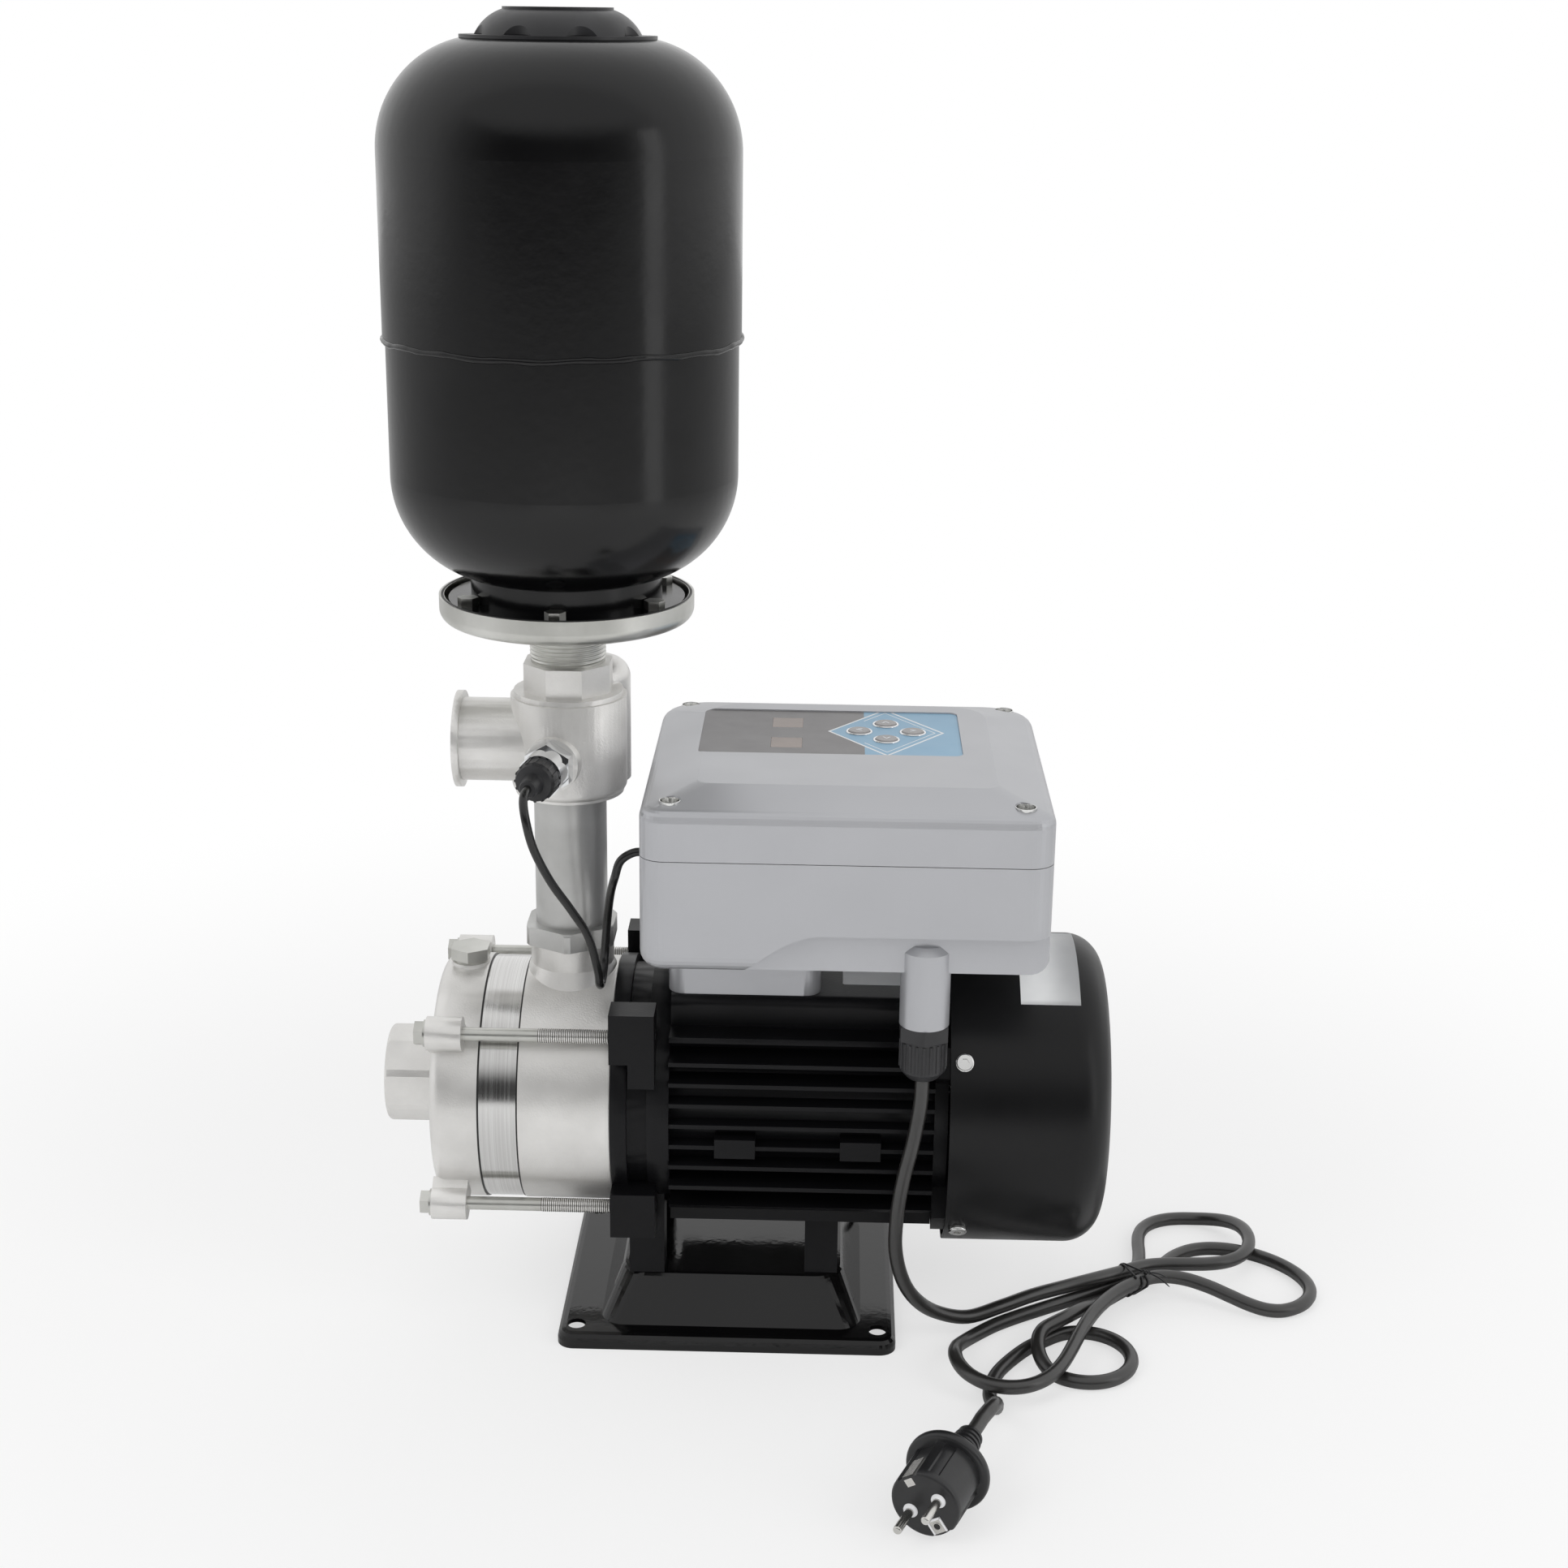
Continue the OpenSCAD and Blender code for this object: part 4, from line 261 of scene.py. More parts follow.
# Every roughness range stays clear of 0.27, where the denoiser draws lines over smooth shades
LOOKS = {
    "base": painted("base_gloss_black", (0.0025, 0.0025, 0.003), (0.005, 0.0048, 0.0048),
                    (0.06, 0.14), 0.00005, 260.0, specular=0.45, dust=3.0),
    "casting": painted("motor_satin_black", (0.0035, 0.0035, 0.004), (0.007, 0.007, 0.008),
                       (0.29, 0.40), 0.00005, 900.0, specular=0.2, dust=1.0),
    "cover": painted("fan_cover_black", (0.0035, 0.0035, 0.004), (0.006, 0.006, 0.0065),
                     (0.285, 0.36), 0.00002, 700.0, specular=0.3, dust=2.0),
    "bright": cast_metal("bright_screw", (0.70, 0.70, 0.69), (0.86, 0.86, 0.85), (0.10, 0.22),
                         800.0, 0.00001),
    "zinc": cast_metal("zinc_plate", (0.52, 0.52, 0.49), (0.70, 0.70, 0.67), (0.29, 0.38), 350.0,
                       0.00001),
    "stainless": cast_metal("blasted_stainless", (0.70, 0.69, 0.67), (0.84, 0.83, 0.81),
                            (0.30, 0.42), 950.0, 0.00014, metallic=0.72),
    "pipe": cast_metal("pipe_steel", (0.42, 0.42, 0.41), (0.56, 0.56, 0.55), (0.30, 0.40), 700.0,
                       0.00006, metallic=0.8),
    "sleeve": sleeve_look(),
    # The rod threads carry painted highlight on their crests and painted shade in their grooves
    "thread": thread_light_look(),
    "shaft": cast_metal("ground_shaft", (0.56, 0.56, 0.57), (0.72, 0.72, 0.73), (0.16, 0.26), 60.0,
                        0.00001, (30.0, 1.0, 1.0)),
    "laminated": laminated_look(),
    "copper": copper_look(),
    "bearing": cast_metal("bearing_steel", (0.62, 0.63, 0.64), (0.78, 0.79, 0.8), (0.08, 0.16),
                          500.0, 0.00001),
    "ceramic": plastic("seal_carbon", (0.05, 0.05, 0.055), (0.1, 0.1, 0.11), (0.29, 0.38), 500.0),
    "fan": plastic("fan_plastic", (0.02, 0.02, 0.022), (0.035, 0.035, 0.038), (0.4, 0.55)),
    "stage": plastic("stage_plastic", (0.03, 0.03, 0.034), (0.05, 0.05, 0.056), (0.4, 0.5)),
    "rubber": plastic("seal_rubber", (0.008, 0.008, 0.008), (0.016, 0.016, 0.016), (0.35, 0.5)),
    "bladder": plastic("bladder_rubber", (0.010, 0.010, 0.010), (0.022, 0.022, 0.022), (0.5, 0.7),
                       300.0, 0.0001),
    "acetal": plastic("valve_acetal", (0.66, 0.64, 0.59), (0.74, 0.72, 0.67), (0.3, 0.42)),
    "brass": cast_metal("turned_brass", (0.60, 0.42, 0.17), (0.78, 0.58, 0.27), (0.16, 0.26), 90.0,
                        0.00002, (1.0, 1.0, 24.0)),
    "chrome": cast_metal("bright_sensor", (0.72, 0.73, 0.74), (0.86, 0.87, 0.88), (0.05, 0.12),
                         60.0, 0.00001),
    "tank": painted("tank_gloss_black", (0.0020, 0.0020, 0.0023), (0.0035, 0.0035, 0.0038),
                    (0.15, 0.22), 0.00006, 150.0, specular=0.4, dust=4.0),
    "cap": plastic("cap_plastic", (0.012, 0.012, 0.013), (0.020, 0.020, 0.022), (0.32, 0.42),
                   500.0),
    "housing": painted("silver_paint", (0.44, 0.445, 0.465), (0.475, 0.48, 0.50), (0.29, 0.34),
                       0.00001, 160.0, specular=0.4, metallic=0.5),
    "panel": panel_look(),
    "window": plastic("display_window", (0.20, 0.155, 0.13), (0.25, 0.195, 0.165), (0.12, 0.2),
                      200.0),
    "button": plastic("button_dome", (0.26, 0.25, 0.25), (0.33, 0.32, 0.32), (0.18, 0.26), 400.0),
    "mark": plastic("pale_mark", (0.62, 0.64, 0.66), (0.7, 0.72, 0.74), (0.3, 0.4), 400.0),
    "board": plastic("solder_mask", (0.01, 0.08, 0.035), (0.015, 0.12, 0.05), (0.29, 0.4), 300.0,
                     0.0001),
    "nylon": plastic("black_nylon", (0.014, 0.014, 0.015), (0.026, 0.026, 0.028), (0.36, 0.5),
                     700.0, 0.00004),
    "cord": plastic("cord_sheath", (0.014, 0.0135, 0.013), (0.024, 0.023, 0.022), (0.285, 0.34),
                    420.0, 0.00004, specular=0.9),
    "cable": plastic("cable_sheath", (0.008, 0.008, 0.008), (0.016, 0.016, 0.016), (0.16, 0.26),
                     300.0),
    "plug": plastic("plug_moulding", (0.010, 0.010, 0.011), (0.020, 0.020, 0.021), (0.285, 0.34),
                    500.0, 0.00004),
    "pins": cast_metal("pin_nickel", (0.62, 0.61, 0.58), (0.76, 0.75, 0.73), (0.19, 0.26), 300.0,
                       0.00001),
    "white": plastic("white_insert", (0.74, 0.74, 0.76), (0.82, 0.82, 0.83), (0.3, 0.42), 500.0),
    "paper": plastic("bare_label", (0.78, 0.79, 0.80), (0.85, 0.86, 0.86), (0.4, 0.55), 1500.0,
                     0.00001),
}

NODE_LOOKS = {
    "base": ["base_plate"],
    "casting": ["motor_bracket", "motor_frame", "rear_foot", "end_shield"],
    "cover": ["fan_cover"],
    "bright": ["fan_cover_screws", "lid_screws"],
    "zinc": ["foot_bolts", "priming_plug", "tie_bolts", "tank_flange", "flange_bolts"],
    "stainless": ["pump_casing", "suction_cover", "impeller_1", "impeller_2", "manifold"],
    "pipe": ["riser_pipe", "lock_nut"],
    "sleeve": ["stage_sleeve"],
    "shaft": ["motor_shaft", "impeller_nut"],
    "laminated": ["rotor_core", "stator_core"],
    "copper": ["stator_windings"],
    "bearing": ["drive_end_bearing", "fan_end_bearing"],
    "ceramic": ["seal_seat", "seal_ring"],
    "fan": ["cooling_fan"],
    "stage": ["diffuser_1", "diffuser_2"],
    "rubber": ["casing_gaskets", "sensor_cable"],
    "bladder": ["tank_bladder"],
    "acetal": ["check_valve_cage"],
    "brass": ["check_valve_poppet", "air_valve"],
    "chrome": ["pressure_sensor"],
    "tank": ["tank_lower_shell", "tank_upper_shell"],
    "cap": ["tank_cap"],
    "housing": ["controller_pad", "controller_housing", "controller_lid"],
    "panel": ["control_panel"],
    "window": ["display_windows"],
    "button": ["button_up", "button_down", "button_left", "button_right"],
    "board": ["circuit_board"],
    "nylon": ["cable_gland", "cord_tie"],
    "cord": ["mains_cord", "cord_loops", "cord_tail"],
    "plug": ["plug_body"],
    "pins": ["plug_pins"],
}

for look_name, names in NODE_LOOKS.items():
    for node_name in names:
        for entry in nodes[node_name].material_slots:
            entry.material = LOOKS[look_name].material


# ---------------------------------------------------------------- building pieces
def mm(point):
    return Vector(point) * MM


def piece(name, verts, faces, look, body=UNIT, slot=None, smooth=True, sharp=0):
    """A mesh piece in metres on a body; edges sharper than sharp degrees stay hard."""
    mesh = bpy.data.meshes.new(name)
    mesh.from_pydata([tuple(v) for v in verts], [], faces)
    mesh.validate()
    mesh.materials.append(LOOKS[look].material)
    if smooth:
        mesh.polygons.foreach_set("use_smooth", [True] * len(mesh.polygons))
        if sharp:
            mesh.set_sharp_from_angle(angle=radians(sharp))
    obj = bpy.data.objects.new(name, mesh)
    bpy.context.scene.collection.objects.link(obj)
    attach(obj, body)
    return obj


def grid_faces(rows, columns, wrap_rows=False):
    """Quads between closed rows of points; wrap_rows joins the last row to the first."""
    faces = []
    for i in range(rows if wrap_rows else rows - 1):
        for j in range(columns):
            a, b = i * columns, (i + 1) % rows * columns
            k = (j + 1) % columns
            faces.append((a + j, a + k, b + k, b + j))
    return faces


def merge(parts):
    """Joins (verts, faces) pairs into one pair."""
    verts, faces = [], []
    for part_verts, part_faces in parts:
        base = len(verts)
        verts += part_verts
        faces += [tuple(base + i for i in face) for face in part_faces]
    return verts, faces


def lathe(profile, turn, steps, closed=False):
    """Revolves (radius, height) points in millimetres about the local z of a matrix."""
    verts = []
    for radius, height in profile:
        for k in range(steps):
            a = 2 * pi * k / steps
            verts.append(turn @ mm((radius * cos(a), radius * sin(a), height)))
    return verts, grid_faces(len(profile), steps, closed)


def ring(radius, wire_r, height, turn, steps, sides):
    """A torus about the local z of a matrix."""
    angles = [2 * pi * k / sides for k in range(sides)]
    profile = [(radius + wire_r * cos(a), height + wire_r * sin(a)) for a in angles]
    return lathe(profile, turn, steps, True)


def thread(radius, depth, pitch, start, end, turn, steps=28, rows=6):
    """A helical ridge on a shank, from start to end in millimetres along local z."""
    count = int((end - start) / pitch * rows)
    verts = []
    for i in range(count + 1):
        height = start + (end - start) * i / count
        fade = min(1.0, i / rows, (count - i) / rows)
        for k in range(steps):
            phase = (height / pitch - k / steps) % 1.0
            r = radius + depth * fade * (1 - abs(2 * phase - 1))
            a = 2 * pi * k / steps
            verts.append(turn @ mm((r * cos(a), r * sin(a), height)))
    return verts, grid_faces(count + 1, steps)


def tube(path, radius, sides, taper=0):
    """A tube through points in millimetres; taper rounds off that many rows at both ends."""
    count = len(path)
    tangents = [(path[min(i + 1, count - 1)] - path[max(i - 1, 0)]).normalized()
                for i in range(count)]
    normal = tangents[0].orthogonal().normalized()
    verts = []
    for i, (point, tangent) in enumerate(zip(path, tangents)):
        normal = (normal - tangent * normal.dot(tangent)).normalized()
        side = tangent.cross(normal)
        end = min(i, count - 1 - i)
        r = radius * (min(1.0, (end + 0.4) / taper) ** 0.5 if taper else 1.0)
        for k in range(sides):
            a = 2 * pi * k / sides
            verts.append(mm(point + r * (normal * cos(a) + side * sin(a))))
    faces = grid_faces(count, sides)
    faces.append(tuple(range(sides))[::-1])
    faces.append(tuple(range((count - 1) * sides, count * sides)))
    return verts, faces


def box(low, high, turn, round_by=0.0):
    """A box in millimetres with its vertical corners cut by round_by."""
    (x0, y0, z0), (x1, y1, z1) = low, high
    c = round_by
    outline = [(x0 + c, y0), (x1 - c, y0), (x1, y0 + c), (x1, y1 - c), (x1 - c, y1), (x0 + c, y1),
               (x0, y1 - c), (x0, y0 + c)]
    verts = [turn @ mm((x, y, z)) for z in (z0, z1) for x, y in outline]
    n = len(outline)
    faces = [(k, (k + 1) % n, n + (k + 1) % n, n + k) for k in range(n)]
    faces += [tuple(range(n))[::-1], tuple(range(n, 2 * n))]
    return verts, faces


def ribs_round(turn, count, low, high, round_by):
    """Equal ribs round the local z of a matrix, each a box on the local x side."""
    return [box(low, high, turn @ spin("Z", 360 / count * k), round_by) for k in range(count)]


def spline(points, steps):
    """Catmull-Rom through the points, the same rule as in the part's source."""
    count = len(points)
    out = []
    for i in range(count - 1):
        before = points[i - 1] if i else 2 * points[0] - points[1]
        a, b = points[i], points[i + 1]
        after = points[i + 2] if i + 2 < count else 2 * points[-1] - points[-2]
        for k in range(steps):
            t = k / steps
            out.append(0.5 * (2 * a + (b - before) * t
                              + (2 * before - 5 * a + 4 * b - after) * t ** 2
                              + (3 * a - before - 3 * b + after) * t ** 3))
    out.append(points[-1])
    return out


def curve_object(name, points, radius, look):
    """A round cord as a curve of one open spline."""
    data = bpy.data.curves.new(name, "CURVE")
    data.dimensions = "3D"
    data.bevel_depth = radius * MM
    data.bevel_resolution = 5
    data.use_fill_caps = True
    line = data.splines.new("POLY")
    line.points.add(len(points) - 1)
    for entry, point in zip(line.points, points):
        entry.co = (*mm(point), 1.0)
    line.use_smooth = True
    data.materials.append(LOOKS[look].material)
    obj = bpy.data.objects.new(name, data)
    bpy.context.scene.collection.objects.link(obj)
    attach(obj, UNIT)
    return obj


def spin(axis, angle):
    return Matrix.Rotation(radians(angle), 4, axis)


def move(x, y, z):
    return Matrix.Translation(mm((x, y, z)))


# ---------------------------------------------------------------- mains cord
CORD_D = 8.5
CORD_R = CORD_D / 2
FLOOR = CORD_R + 0.1      # height of the first layer's centre line
LEVEL = CORD_D + 0.7      # step up to the next layer
# The twist tie's place, the bundle's direction in degrees, and its rise under the tie
TIE = Vector((250, -8, 0))
TIE_A = 38.0
TIE_LIFT = 1.4
# Each loop: side, reach, heading, swing, skew, its start and end across the bundle, the layers it
# leaves and reaches, and the shares of its length between which it climbs
LOOPS = [
    (1, 110, 47, 28, 0.18, 4.7, 9.3, 1, 0, 0.36, 0.62),
    (-1, 160, 51, 14.5, 0.06, 9.3, -9.5, 0, 1, 0.25, 0.4),
    (1, 112, 8, 29, 0.2, -9.5, 0, 1, 0, 0.03, 0.3),
]
LOOP_STEPS, SLANT_STEPS = 24, 6
# The round turn after the loops, with the shares and degrees where it climbs and comes down
TURN_R, TURN_ALONG, TURN_ACROSS = 28, -78, -14
TURN_RISE, TURN_FALL = (0.2, 0.8), (25, 105)
PLUG_AT = Vector((112.8, -269, 22.4))
PLUG_HEADING, PLUG_TILT, PLUG_ROLL = 245.9, 3.0, 35.0
PLUG_LEN, PLUG_HOLE = 77, 12


def cosd(a):
    return cos(radians(a))


def sind(a):
    return sin(radians(a))


def at_tie(along, across, z):
    """A point given along and across the bundle, from the twist tie."""
    return Vector((TIE.x + along * cosd(TIE_A) - across * sind(TIE_A),
                   TIE.y + along * sind(TIE_A) + across * cosd(TIE_A), z))


def ease(t):
    t = min(1.0, max(0.0, t))
    return t * t * (3 - 2 * t)


def loop_point(loop, s):
    side, out, heading, swing, skew, start, end, low, high, rise, top = loop
    reach = side * out * sind(180 * s)
    a = TIE_A + (heading - TIE_A) * sind(180 * s) - swing * (sind(360 * s) + skew * sind(720 * s))
    across = start + (end - start) * s
    level = low + (high - low) * ease((s - rise) / (top - rise))
    z = FLOOR + level * LEVEL + TIE_LIFT * abs(cosd(180 * s)) ** 12
    return Vector((TIE.x + reach * cosd(a) - across * sind(TIE_A),
                   TIE.y + reach * sind(a) + across * cosd(TIE_A), z))


def slant_point(s):
    return at_tie(TURN_ALONG * s, TURN_ACROSS * ease(s), FLOOR + TIE_LIFT * (1 - s) ** 3
                  + LEVEL * ease((s - TURN_RISE[0]) / (TURN_RISE[1] - TURN_RISE[0])))


def turn_point(s):
    fall = ease((360 * s - TURN_FALL[0]) / (TURN_FALL[1] - TURN_FALL[0]))
    return at_tie(TURN_ALONG + TURN_R * cosd(90 + 360 * s),
                  TURN_ACROSS - TURN_R + TURN_R * sind(90 + 360 * s), FLOOR + LEVEL * (1 - fall))


loops_path = [loop_point(g, i / LOOP_STEPS) for g in LOOPS for i in range(LOOP_STEPS)]
loops_path += [slant_point(i / SLANT_STEPS) for i in range(SLANT_STEPS)]
loops_path += [turn_point(i / LOOP_STEPS) for i in range(LOOP_STEPS + 1)]

# From the gland down to the bundle: offsets in x and y, and shares of the start's height
LEAD_START = Vector((GLAND_X, GLAND_Y, 209))
LEAD_OFFSETS = [(0, 0), (0, 0), (-0.5, 0), (-4, 1), (-9, 2.5), (-12, 4.5), (-12, 8), (-7, 14),
                (2, 22), (15, 30), (34, 38)]
LEAD_SHARES = [1, 0.91, 0.82, 0.7, 0.58, 0.46, 0.345, 0.235, 0.15, 0.09, 0.055]
lead_points = [Vector((LEAD_START.x + dx, LEAD_START.y + dy, LEAD_START.z * share))
               for (dx, dy), share in zip(LEAD_OFFSETS, LEAD_SHARES)]
lead_points += [at_tie(-89, 20.5, FLOOR + 8.3), at_tie(-66, 18.2, FLOOR + LEVEL),
                at_tie(-42, 14.3, FLOOR + LEVEL), at_tie(-20, 8.4, FLOOR + TIE_LIFT + LEVEL),
                loops_path[0]]

plug_axis = Vector((cosd(PLUG_HEADING) * cosd(PLUG_TILT), sind(PLUG_HEADING) * cosd(PLUG_TILT),
                    -sind(PLUG_TILT)))


def behind_plug(distance):
    return PLUG_AT - distance * plug_axis


tail_points = [loops_path[-1], at_tie(-100, -15, FLOOR), at_tie(-125, -22, FLOOR),
               at_tie(-140, -30, FLOOR), at_tie(-152, -41, FLOOR + 0.1),
               at_tie(-161, -56, FLOOR + 3.4), behind_plug(PLUG_LEN + 26) + Vector((0.5, 0, -2.5)),
               behind_plug(PLUG_LEN + 9), behind_plug(PLUG_LEN),
               behind_plug(PLUG_LEN - PLUG_HOLE - 10)]

cord_path = spline(lead_points, 6)[:-1] + spline(loops_path, 5)[:-1] + spline(tail_points, 6)
mains_lead = curve_object("mains_lead", cord_path, CORD_R, "cord")
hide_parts("mains_cord", "cord_loops", "cord_tail")

# Twist tie: a thin wire twice round the bundle, its ends twisted together and spread. The runs
# that it holds are given by their place across the bundle and their layer.
TIE_RUNS = [(9.3, 0), (0, 0), (4.7, 1), (-9.5, 1)]
WIRE_R = 0.6


def around_bundle(clear):
    """The four runs' outline as a convex loop of (across, height) points, going round once."""
    points = []
    for across, level in TIE_RUNS:
        centre = (across, FLOOR + TIE_LIFT + level * LEVEL)
        for k in range(32):
            a = 2 * pi * k / 32
            points.append((centre[0] + (CORD_R + clear) * cos(a),
                           centre[1] + (CORD_R + clear) * sin(a)))
    points = sorted(set(points))

    def half(sequence):
        chain = []
        for p in sequence:
            while len(chain) > 1 and ((chain[-1][0] - chain[-2][0]) * (p[1] - chain[-2][1])
                                      - (chain[-1][1] - chain[-2][1]) * (p[0] - chain[-2][0])) <= 0:
                chain.pop()
            chain.append(p)
        return chain[:-1]
    return half(points) + half(points[::-1])


def even_loop(outline, count):
    """The closed outline at even steps, starting near its top."""
    start = max(range(len(outline)), key=lambda i: outline[i][1] - 0.4 * outline[i][0])
    outline = outline[start:] + outline[:start]
    closed = outline + outline[:1]
    steps = [hypot(b[0] - a[0], b[1] - a[1]) for a, b in zip(closed, closed[1:])]
    total = sum(steps)
    out = []
    for k in range(count):
        goal, i = total * k / count, 0
        while goal > steps[i]:
            goal -= steps[i]
            i += 1
        t = goal / steps[i]
        out.append((closed[i][0] + t * (closed[i + 1][0] - closed[i][0]),
                    closed[i][1] + t * (closed[i + 1][1] - closed[i][1])))
    return out


def wire_loop(skew, clear):
    """One turn of the wire, which wanders along the bundle by skew."""
    count = 60
    outline = even_loop(around_bundle(clear), count)
    return [at_tie(skew * sin(2 * pi * i / count + 0.6) + 1.2 * skew * i / count, across, z)
            for i, (across, z) in enumerate(outline + outline[:1])]


def tie_wires():
    """Two turns of wire and the twisted pair of its ends, which spread at the tip."""
    top = max(z for _, z in around_bundle(WIRE_R + 0.1))
    knot = at_tie(1, -9.5, top + 0.6)
    twist = [knot + Vector((0.9 * i, -0.45 * i, 0.5)) for i in range(8)]
    strands = []
    for phase in (0, pi):
        strand = [p + Vector((0, 0.8 * cos(1.6 * i + phase), 0.8 * sin(1.6 * i + phase) + 0.4))
                  for i, p in enumerate(twist)]
        side = 1 if phase else -1
        last = strand[-1]
        strand += [last + Vector((3.0 * k, -2.4 * k + side * 1.3 * k, 0.5 * k - 0.38 * k * k))
                   for k in (1, 2, 3)]
        strands.append(tube(spline(strand, 3), WIRE_R * 0.8, 8, 2))
    return merge([tube(wire_loop(2.0, WIRE_R + 0.05), WIRE_R, 8),
                  tube(wire_loop(-3.2, WIRE_R + 0.05), WIRE_R, 8)] + strands)


twist_tie = piece("twist_tie", *tie_wires(), "nylon", slot="gland_plastic")
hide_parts("cord_tie")

# ---------------------------------------------------------------- plug details
plug_turn = (move(*PLUG_AT) @ spin("Z", PLUG_HEADING) @ spin("Y", 90 + PLUG_TILT)
             @ spin("Z", PLUG_ROLL))


def plug_radius(radius, height, a):
    """The front part's outline: a notch at each earth contact and flat grips between them."""
    if not -29.5 < height < -0.5:
        return radius
    notch_half, notch_floor, grip_depth = 6, 17, 0.9
    side, end = abs(sin(a)), abs(cos(a))
    if radius * side < notch_half:
        return min(radius, notch_floor / end)
    off = min(abs(side - 0.707), abs(end - 0.707))
    return radius - (grip_depth if off < 0.1 and height < -4 else 0.0)


def plug_moulding():
    """Ribbed relief, dome, rounded guard and front part, from the cord's end to the face."""
    profile = [(4.3, -66.5), (5.6, -67.0), (6.2, -66.4)]
    for k in range(5):
        low, radius = -66.0 + 3.9 * k, 6.3 + 0.62 * k
        profile += [(radius, low), (radius + 0.95, low + 0.35), (radius + 1.05, low + 2.0),
                    (radius + 0.1, low + 2.5), (radius, low + 3.6)]
    profile += [(9.6, -46.6), (11.2, -45.9), (13.2, -44.9), (16.6, -42.6), (19.2, -39.8),
                (20.7, -37.2), (21.4, -36.2), (22.6, -35.9), (23.4, -35.1), (23.8, -33.8),
                (23.8, -32.2), (23.4, -30.9), (22.6, -30.2), (21.2, -29.9), (19.5, -29.7),
                (19.4, -29.4), (19.4, -27.0), (19.4, -20.0), (19.4, -10.0), (19.4, -4.2),
                (19.4, -3.9), (19.3, -1.4), (18.9, -0.6), (18.2, -0.1), (17.4, 0.0), (0.01, 0.0)]
    steps = 144
    verts = []
    for radius, height in profile:
        for k in range(steps):
            a = 2 * pi * k / steps
            r = plug_radius(radius, height, a)
            verts.append(plug_turn @ mm((r * cos(a), r * sin(a), height)))
    return verts, grid_faces(len(profile), steps)


PIN_HALF_PITCH = 9.5
EARTH_X = 13
earth_turn = plug_turn @ move(EARTH_X, 0, 0)


def plug_collars():
    """White insulation at the foot of both pins."""
    profile = [(4.1, -0.05), (4.0, 0.55), (3.6, 0.85), (3.0, 0.9), (2.7, 1.5), (2.45, 1.6)]
    return merge([lathe(profile, plug_turn @ move(0, side * PIN_HALF_PITCH, 0), 32)
                  for side in (-1, 1)])


def earth_frames():
    """White rim round the earth contact on the face, open towards the plug's edge."""
    x0, x1, y0, y1 = 8.4, 17.0, -4.6, 4.6
    low, high, wall, cut = -0.05, 0.5, 1.1, 0.2
    return merge([box((x0, y0, low), (x1, y0 + wall, high), plug_turn, cut),
                  box((x0, y1 - wall, low), (x1, y1, high), plug_turn, cut),
                  box((x0, y0, low), (x0 + wall, y1, high), plug_turn, cut)])


def earth_plates():
    """Metal plates of the two earth contacts, one with a ring round its hole."""
    return merge([box((9.5, -3.5, -0.05), (17.0, 3.5, 0.25), plug_turn, 0.2),
                  box((-16.8, -2.6, -0.05), (-12.4, 2.6, 0.2), plug_turn, 0.2),
                  ring(2.1, 0.35, 0.3, earth_turn, 24, 8)])


# A flat black disc inside the ring stands for the earth contact's hole: painted shade in place of
# an opening
def earth_hole_shade():
    return lathe([(0.01, 0.27), (1.5, 0.3), (1.75, 0.32)], earth_turn, 24)


plug_pieces = [
    piece("plug_collars", *plug_collars(), "white", slot="plug_plastic"),
    piece("earth_frames", *earth_frames(), "white", slot="plug_plastic", smooth=False),
    piece("earth_plates", *earth_plates(), "pins", slot="pin_nickel", smooth=False),
    # painted shade of the earth hole, a black disc instead of an opening
    piece("earth_hole_shade", *earth_hole_shade(), "rubber", slot="rubber"),
    piece("plug_moulding", *plug_moulding(), "plug", slot="plug_plastic", sharp=40),
]
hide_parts("plug_body")

# ---------------------------------------------------------------- sensor cable
SENSOR_YAW, SENSOR_END, CABLE_R = -10.0, 84, 2.5
sensor_dir = Vector((sind(SENSOR_YAW), -cosd(SENSOR_YAW), 0))
sensor_tip = Vector((TANK_X, 0, SENSOR_Z)) + SENSOR_END * sensor_dir
box_side = Vector((-49, -60, 308))
low_loop = Vector((-76.5, -44, 220))


def beside(point, offsets):
    return [point + Vector(offset) for offset in offsets]


cable_points = [sensor_tip - 8 * sensor_dir, sensor_tip + 2 * sensor_dir]
cable_points += beside(sensor_tip, [(-1, -11, -3), (1, -17, -13), (5, -16, -30), (13, -7, -52),
                                    (23, 6, -74), (31, 17, -94)])
cable_points += beside(low_loop, [(-0.5, -14, 14), (0, -10, 4), (0, 0, 0), (0.5, 10, 4),
                                  (1, 14, 14), (3, 10, 36), (6, 0, 56)])
cable_points += beside(box_side, [(-17.5, 2, -16), (-14, 0.3, -5.5), (-6, 0, 0), (2, 0, 0)])
cable_path = spline(cable_points, 6)
sensor_lead = curve_object("sensor_lead", cable_path, CABLE_R, "cable")
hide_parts("sensor_cable")


def sensor_plug():
    """Moulded cap on the sensor, with grip ribs and a tapered sleeve on the cable."""
    turn = move(TANK_X, 0, SENSOR_Z) @ spin("Z", SENSOR_YAW) @ spin("X", 90)
    cap = lathe([(2.5, 61.02), (11.3, 61.02), (11.5, 61.6), (11.5, 70.0), (10.4, 72.4),
                 (8.2, 73.2), (6.6, 73.6), (6.1, 75), (5.2, 83), (4.6, 84), (2.4, 84.3)], turn, 48)
    return merge([cap] + ribs_round(turn, 16, (10.6, -0.8, 62.2), (12.0, 0.8, 70.6), 0.3))


sensor_cap = piece("sensor_cap", *sensor_plug(), "nylon", slot="rubber", smooth=False)

